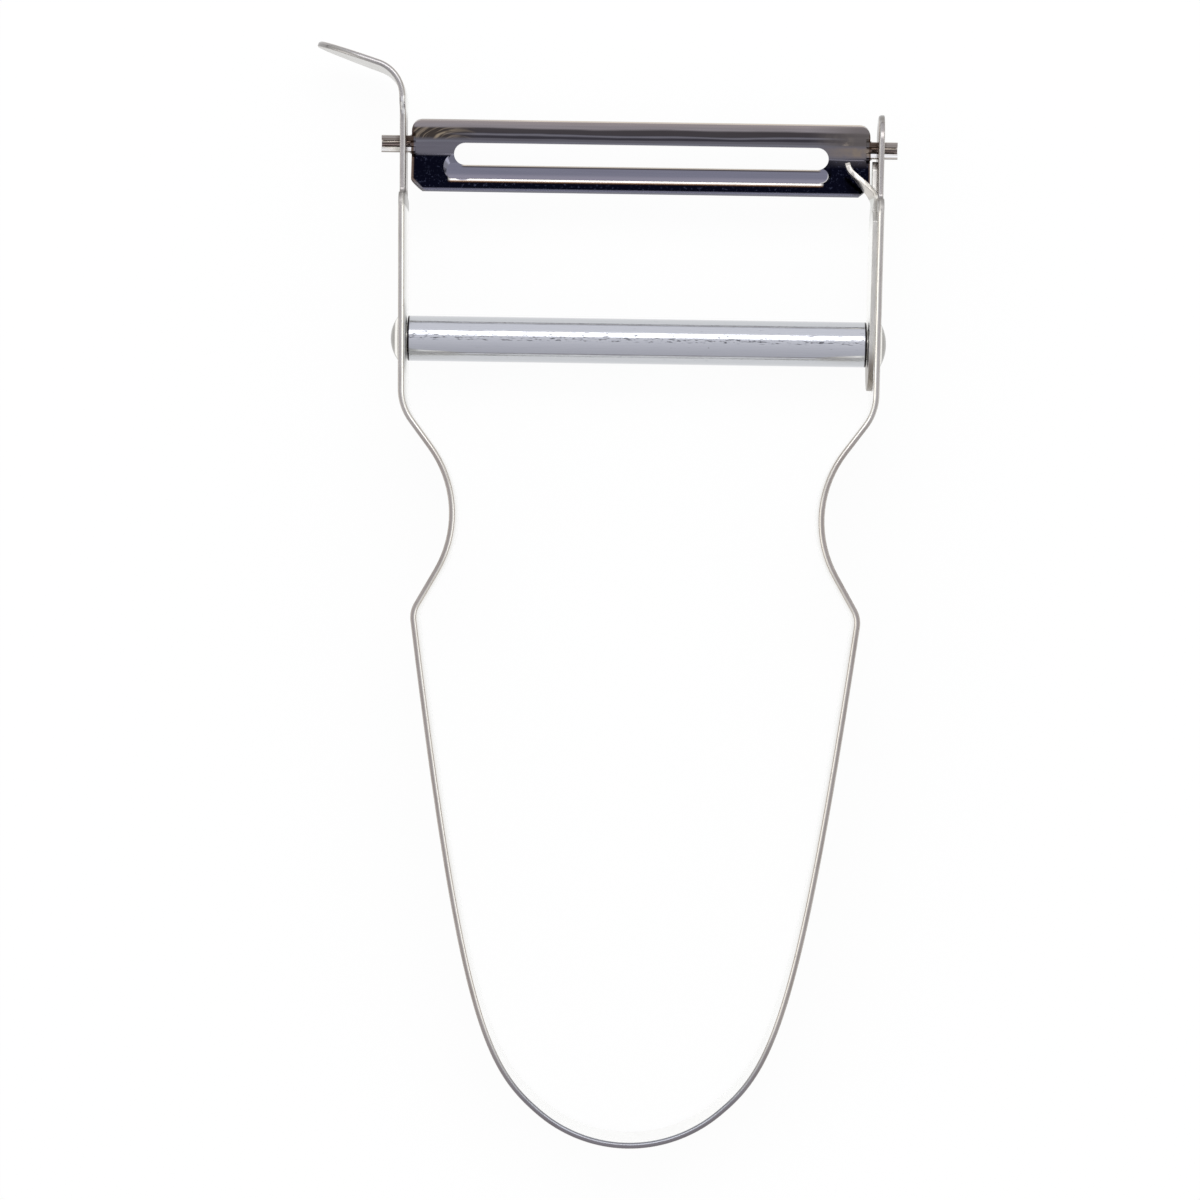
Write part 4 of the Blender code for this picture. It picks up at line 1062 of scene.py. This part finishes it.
def bladeFinish():
    # dark polished steel whose lands carry painted reflections in navy and brown bands by height,
    # with stains and streaks, and a bright ground facet
    sheet = NodeSheet(bpy.data.materials.new("bladeSteel"), bladePaint)
    x, y, z = sheet.place()
    height, ground = y - pivot.y, sheet.stored("ground")
    fromLeft, fromRight = x - blade["left"], blade["right"] - x
    atLeft, atRight = 1 - fromLeft.at("leftEnd"), 1 - fromRight.at("rightEnd")
    drift = sheet.noise((x, height, z), "drift") - 0.5
    streaks = sheet.noise((x, height, z), "streaks", detail=4.0)
    specks = sheet.noise((x, height, z), "specks", detail=4.0, roughness=0.7)
    mottle = sheet.noise((x, height, z), "mottle")
    level = height + drift * 0.5

    def along(name):  # 1 from so far past the left end to so far short of the right one
        left, right, soft = bladePaint[name]
        return x.between(blade["left"] + left, blade["right"] - right, soft)

    # the upper land, with painted reflection stripes along its length and a painted reflection
    # along its top, and curved brown stains at its left end
    stainArc = ringRadius(x, height, "stainRound") + drift * 0.4
    rings = sheet.noise((stainArc, x, 0.0), "stainRings")
    leftStain = sheet.blend("leftStain", rings.at("leftRingsAt"))
    line = stainArc.at("leftLineAt") * mottle.at("leftLineBroken")
    leftStain = sheet.mix(leftStain, "leftLine", line)
    rightStain = sheet.blend("rightStain", mottle.at("rightStainAt"))
    shade = (1 - fromRight.at("rightShadeIn")) * (1 - height.at("rightShadeTop"))
    upper = sheet.coats(
        sheet.stripes("upperSteel", level, "upperStripes"),
        (leftStain, atLeft * height.at("leftStainAbove")),
        (rightStain, atRight * height.at("rightStainAbove")),
        ("topLand", level.at("topLandAt")), ("brow", height.at("browAt")),
        ("rightShade", shade * 0.7),
        (sheet.blend("topEdge", fromLeft.at("topEdgeIn")), height.at("topEdgeAt")),
    )
    upper = sheet.tint(upper, sheet.blend("upperStreaks", streaks))

    # the middle band, tan at its right end, with painted shade along its foot
    tan = atRight * height.at("bandTanAt") * mottle.at("bandTanBroken")
    band = sheet.mix(sheet.blend("band", streaks), "bandTan", tan)
    clear = height.at("bandFootShadeAt").maths("MAXIMUM", atRight)
    band = sheet.mix("bandFootShade", band, clear)
    clear = (height.at("bandRightFootShadeAt") + 1 - atRight).maths("MINIMUM", 1.0)
    band = sheet.mix("bandRightFootShade", band, clear)

    # the lower land, near-black as a painted dark reflection with a painted reflection along its
    # bottom edge, the painted highlight on the burr, and the scoop at the facet's left end
    lower = sheet.blend("lower", specks.at("lowerSpecks"))
    # a painted highlight on the burr's crest, with a brown line and a dark line below it
    burr = sheet.stripes("burrHighlight", height * -1, "burrStripes")
    facet = sheet.blend("facet", streaks)
    facet = sheet.mix(facet, "facetFoot", 1 - height.at("facetFootAt"))
    scoop = 1 - ringRadius(x, height, "scoopRound").at("scoopRadius")
    inSlot = along("burrIn")
    fade = sheet.mix(level.at("bandFade"), level.at("bandRightFade"), atRight)
    rim = (1 - fromLeft.at("leftRim")).maths("MAXIMUM", 1 - fromRight.at("rightRim"))
    fromCut = fromLeft + height - blade["bottom"] - blade["lowerCornerCut"]
    rim = rim.maths("MAXIMUM", 1 - fromCut.at("cutRim"))
    colour = sheet.coats(
        lower, ("lowerEdge", 1 - height.at("lowerEdgeAt")),
        (burr, height.at("burrAt") * inSlot), (facet, scoop), (band, fade),
        (upper, level.at("upperAt")), (sheet.blend("rim", height.at("rimAt")), rim),
    )

    # the ground facet, with dark and cream lines along the slot's lip and a painted highlight
    # outlining its right end
    lip, atLip = facet, along("lipIn")
    for over, place in bladePaint["lipStripes"]:
        lip = sheet.mix(lip, over, height.at(place) * atLip)
    # a painted highlight round the facet's right end
    outline = ringRadius(fromRight, height, "outlineRound").at("outlineRadius")
    outline = outline * (1 - fromRight.at("outlineIn"))
    lip = sheet.mix(lip, "outline", outline * (1 - height.at("outlineBelow")))
    # a painted highlight on the step at the facet's foot
    colour = sheet.mix(colour, "stepHighlight", ground.at("stepAt") * inSlot)
    colour = sheet.mix(colour, lip, ground.at("groundAt"))

    # the rolled tongues, with painted shade inside each channel and a painted highlight on its
    # lower inner wall
    beyond = (fromLeft * -1).maths("MAXIMUM", fromRight * -1)
    tongue = sheet.blend("tongue", beyond.at("tongueEnd"))
    tongue = sheet.stripes(tongue, height, "tongueStripes")
    worn = sheet.blend("tongueWorn", streaks.at("tongueWornAt"))
    tongue = sheet.mix("tongueFoot", sheet.tint(tongue, worn), height.at("tongueFootAt"))
    colour = sheet.mix(colour, tongue, beyond.at("tongueFrom"))
    return metal(sheet, colour, streaks.roughness(), streaks)


# Studio

studio = dict(
    floorSize=4.0, floorDrop=0.00005, floorColour=(0.9, 0.9, 0.9), floorGlow=0.94,
    tentLow=(0.62, 0.62, 0.67), tentHigh=(0.94, 0.94, 1.0), tentFrom=-0.2, tentSoft=1.4,
    sideColour=(0.97, 0.97, 0.95), sideFrom=0.45, sideSoft=0.2,
    rimColour=(0.31, 0.30, 0.32), rimWidth=0.09, frontCard=0.17, cardFrom=0.1, cardSoft=0.1,
)


def makeFloor():
    bm = bmesh.new()
    bmesh.ops.create_grid(bm, x_segments=1, y_segments=1, size=studio["floorSize"] / 2 / mm)
    bmesh.ops.translate(bm, vec=(0, 0, -studio["floorDrop"] / mm), verts=bm.verts)
    floor = toObject(bm, "paleFloor")
    sheet = NodeSheet(bpy.data.materials.new("paleFloor"))
    paint = sheet.node("ShaderNodeBsdfDiffuse", inputs={"Color": studio["floorColour"]})
    glow = sheet.node("ShaderNodeEmission", inputs={"Color": (1, 1, 1), "Strength": 1.0})
    mirrored = sheet.light("Is Glossy Ray") + sheet.light("Is Transmission Ray")
    seen = sheet.light("Is Camera Ray") * studio["floorGlow"] + mirrored
    both = sheet.node("ShaderNodeMixShader", inputs={0: seen, 1: paint, 2: glow})
    sheet.tree.links.new(both.output, sheet.tree.nodes["Material Output"].inputs["Surface"])
    floor.data.materials.append(sheet.owner)


def makeSky():
    # a grey tent, brighter towards the blade, with white sides and a dark rim round the table
    world = bpy.data.worlds.new("studioSky")
    bpy.context.scene.world = world
    sheet = NodeSheet(world)
    x, y, z = sheet.axes("Generated")
    bladeward = y.above(studio["tentFrom"], studio["tentSoft"])
    colour = sheet.mix(studio["tentLow"], studio["tentHigh"], bladeward)
    side = x.size().above(studio["sideFrom"], studio["sideSoft"])
    colour = sheet.mix(colour, studio["sideColour"], side)
    card = (y * -1).above(studio["cardFrom"], studio["cardSoft"]) * studio["frontCard"]
    width = studio["rimWidth"]
    colour = sheet.mix(colour, studio["rimColour"], 1 - (z - card).above(width, width / 2))
    colour = sheet.mix(colour, (1, 1, 1), 1 - (z - card).above(0.0, width / 4))
    tent = sheet.node("ShaderNodeBackground", inputs={"Color": colour, "Strength": 1.0})
    white = sheet.node("ShaderNodeBackground", inputs={"Color": (1, 1, 1), "Strength": 1.0})
    seen = sheet.light("Is Camera Ray")
    both = sheet.node("ShaderNodeMixShader", inputs={0: seen, 1: tent, 2: white})
    sheet.tree.links.new(both.output, sheet.tree.nodes["World Output"].inputs["Surface"])


lamps = dict(
    stripLamp=dict(
        at=(0.0, 0.47, 0.72), aim=(0, 0.07, 0), size=(0.9, 0.31), watts=1.9, colour=(1, 1, 1),
    ),
    leftLamp=dict(
        at=(-0.8, 0.0, 0.55), aim=(0, 0.06, 0), size=(0.5, 0.5), watts=0.8, colour=(1, 0.95, 0.9),
    ),
    rightLamp=dict(
        at=(0.8, 0.0, 0.55), aim=(0, 0.06, 0), size=(0.5, 0.5), watts=0.8, colour=(0.95, 0.97, 1),
    ),
)


def makeLamps():
    for name, settings in lamps.items():
        light = bpy.data.lights.new(name, "AREA")
        light.shape = "RECTANGLE"
        light.size, light.size_y = settings["size"]
        light.energy = settings["watts"]
        light.color = settings["colour"]
        lamp = bpy.data.objects.new(name, light)
        bpy.context.scene.collection.objects.link(lamp)
        lamp.location = settings["at"]
        toward = Vector(settings["aim"]) - lamp.location
        lamp.rotation_euler = toward.to_track_quat("-Z", "Y").to_euler()


camera = dict(
    above=572.0, height=56.17, frameWidth=123.48, frontDepth=12.0, sensor=36.0,
    axisShift=-35.5 / 1200, roll=0.85, clip=(0.01, 20.0),
)


def makeCamera():
    data = bpy.data.cameras.new("studioCamera")
    data.sensor_width = camera["sensor"]
    data.lens = camera["sensor"] * (camera["above"] - camera["frontDepth"]) / camera["frameWidth"]
    data.shift_x = camera["axisShift"]
    data.clip_start, data.clip_end = camera["clip"]
    made = bpy.data.objects.new("studioCamera", data)
    bpy.context.scene.collection.objects.link(made)
    made.location = (0.0, camera["height"] * mm, camera["above"] * mm)
    made.rotation_euler = (0.0, 0.0, math.radians(camera["roll"]))
    bpy.context.scene.camera = made


bpy.context.scene.view_settings.view_transform = "Standard"
makeCamera()
makeLamps()
makeSky()
makeFloor()
print("studio set")

makeStrap(strapFinish())
makeTube(tubeFinish())
makeRivet(rivetFinish())
makeLeaf(leafFinish())
makeBlade(bladeFinish())
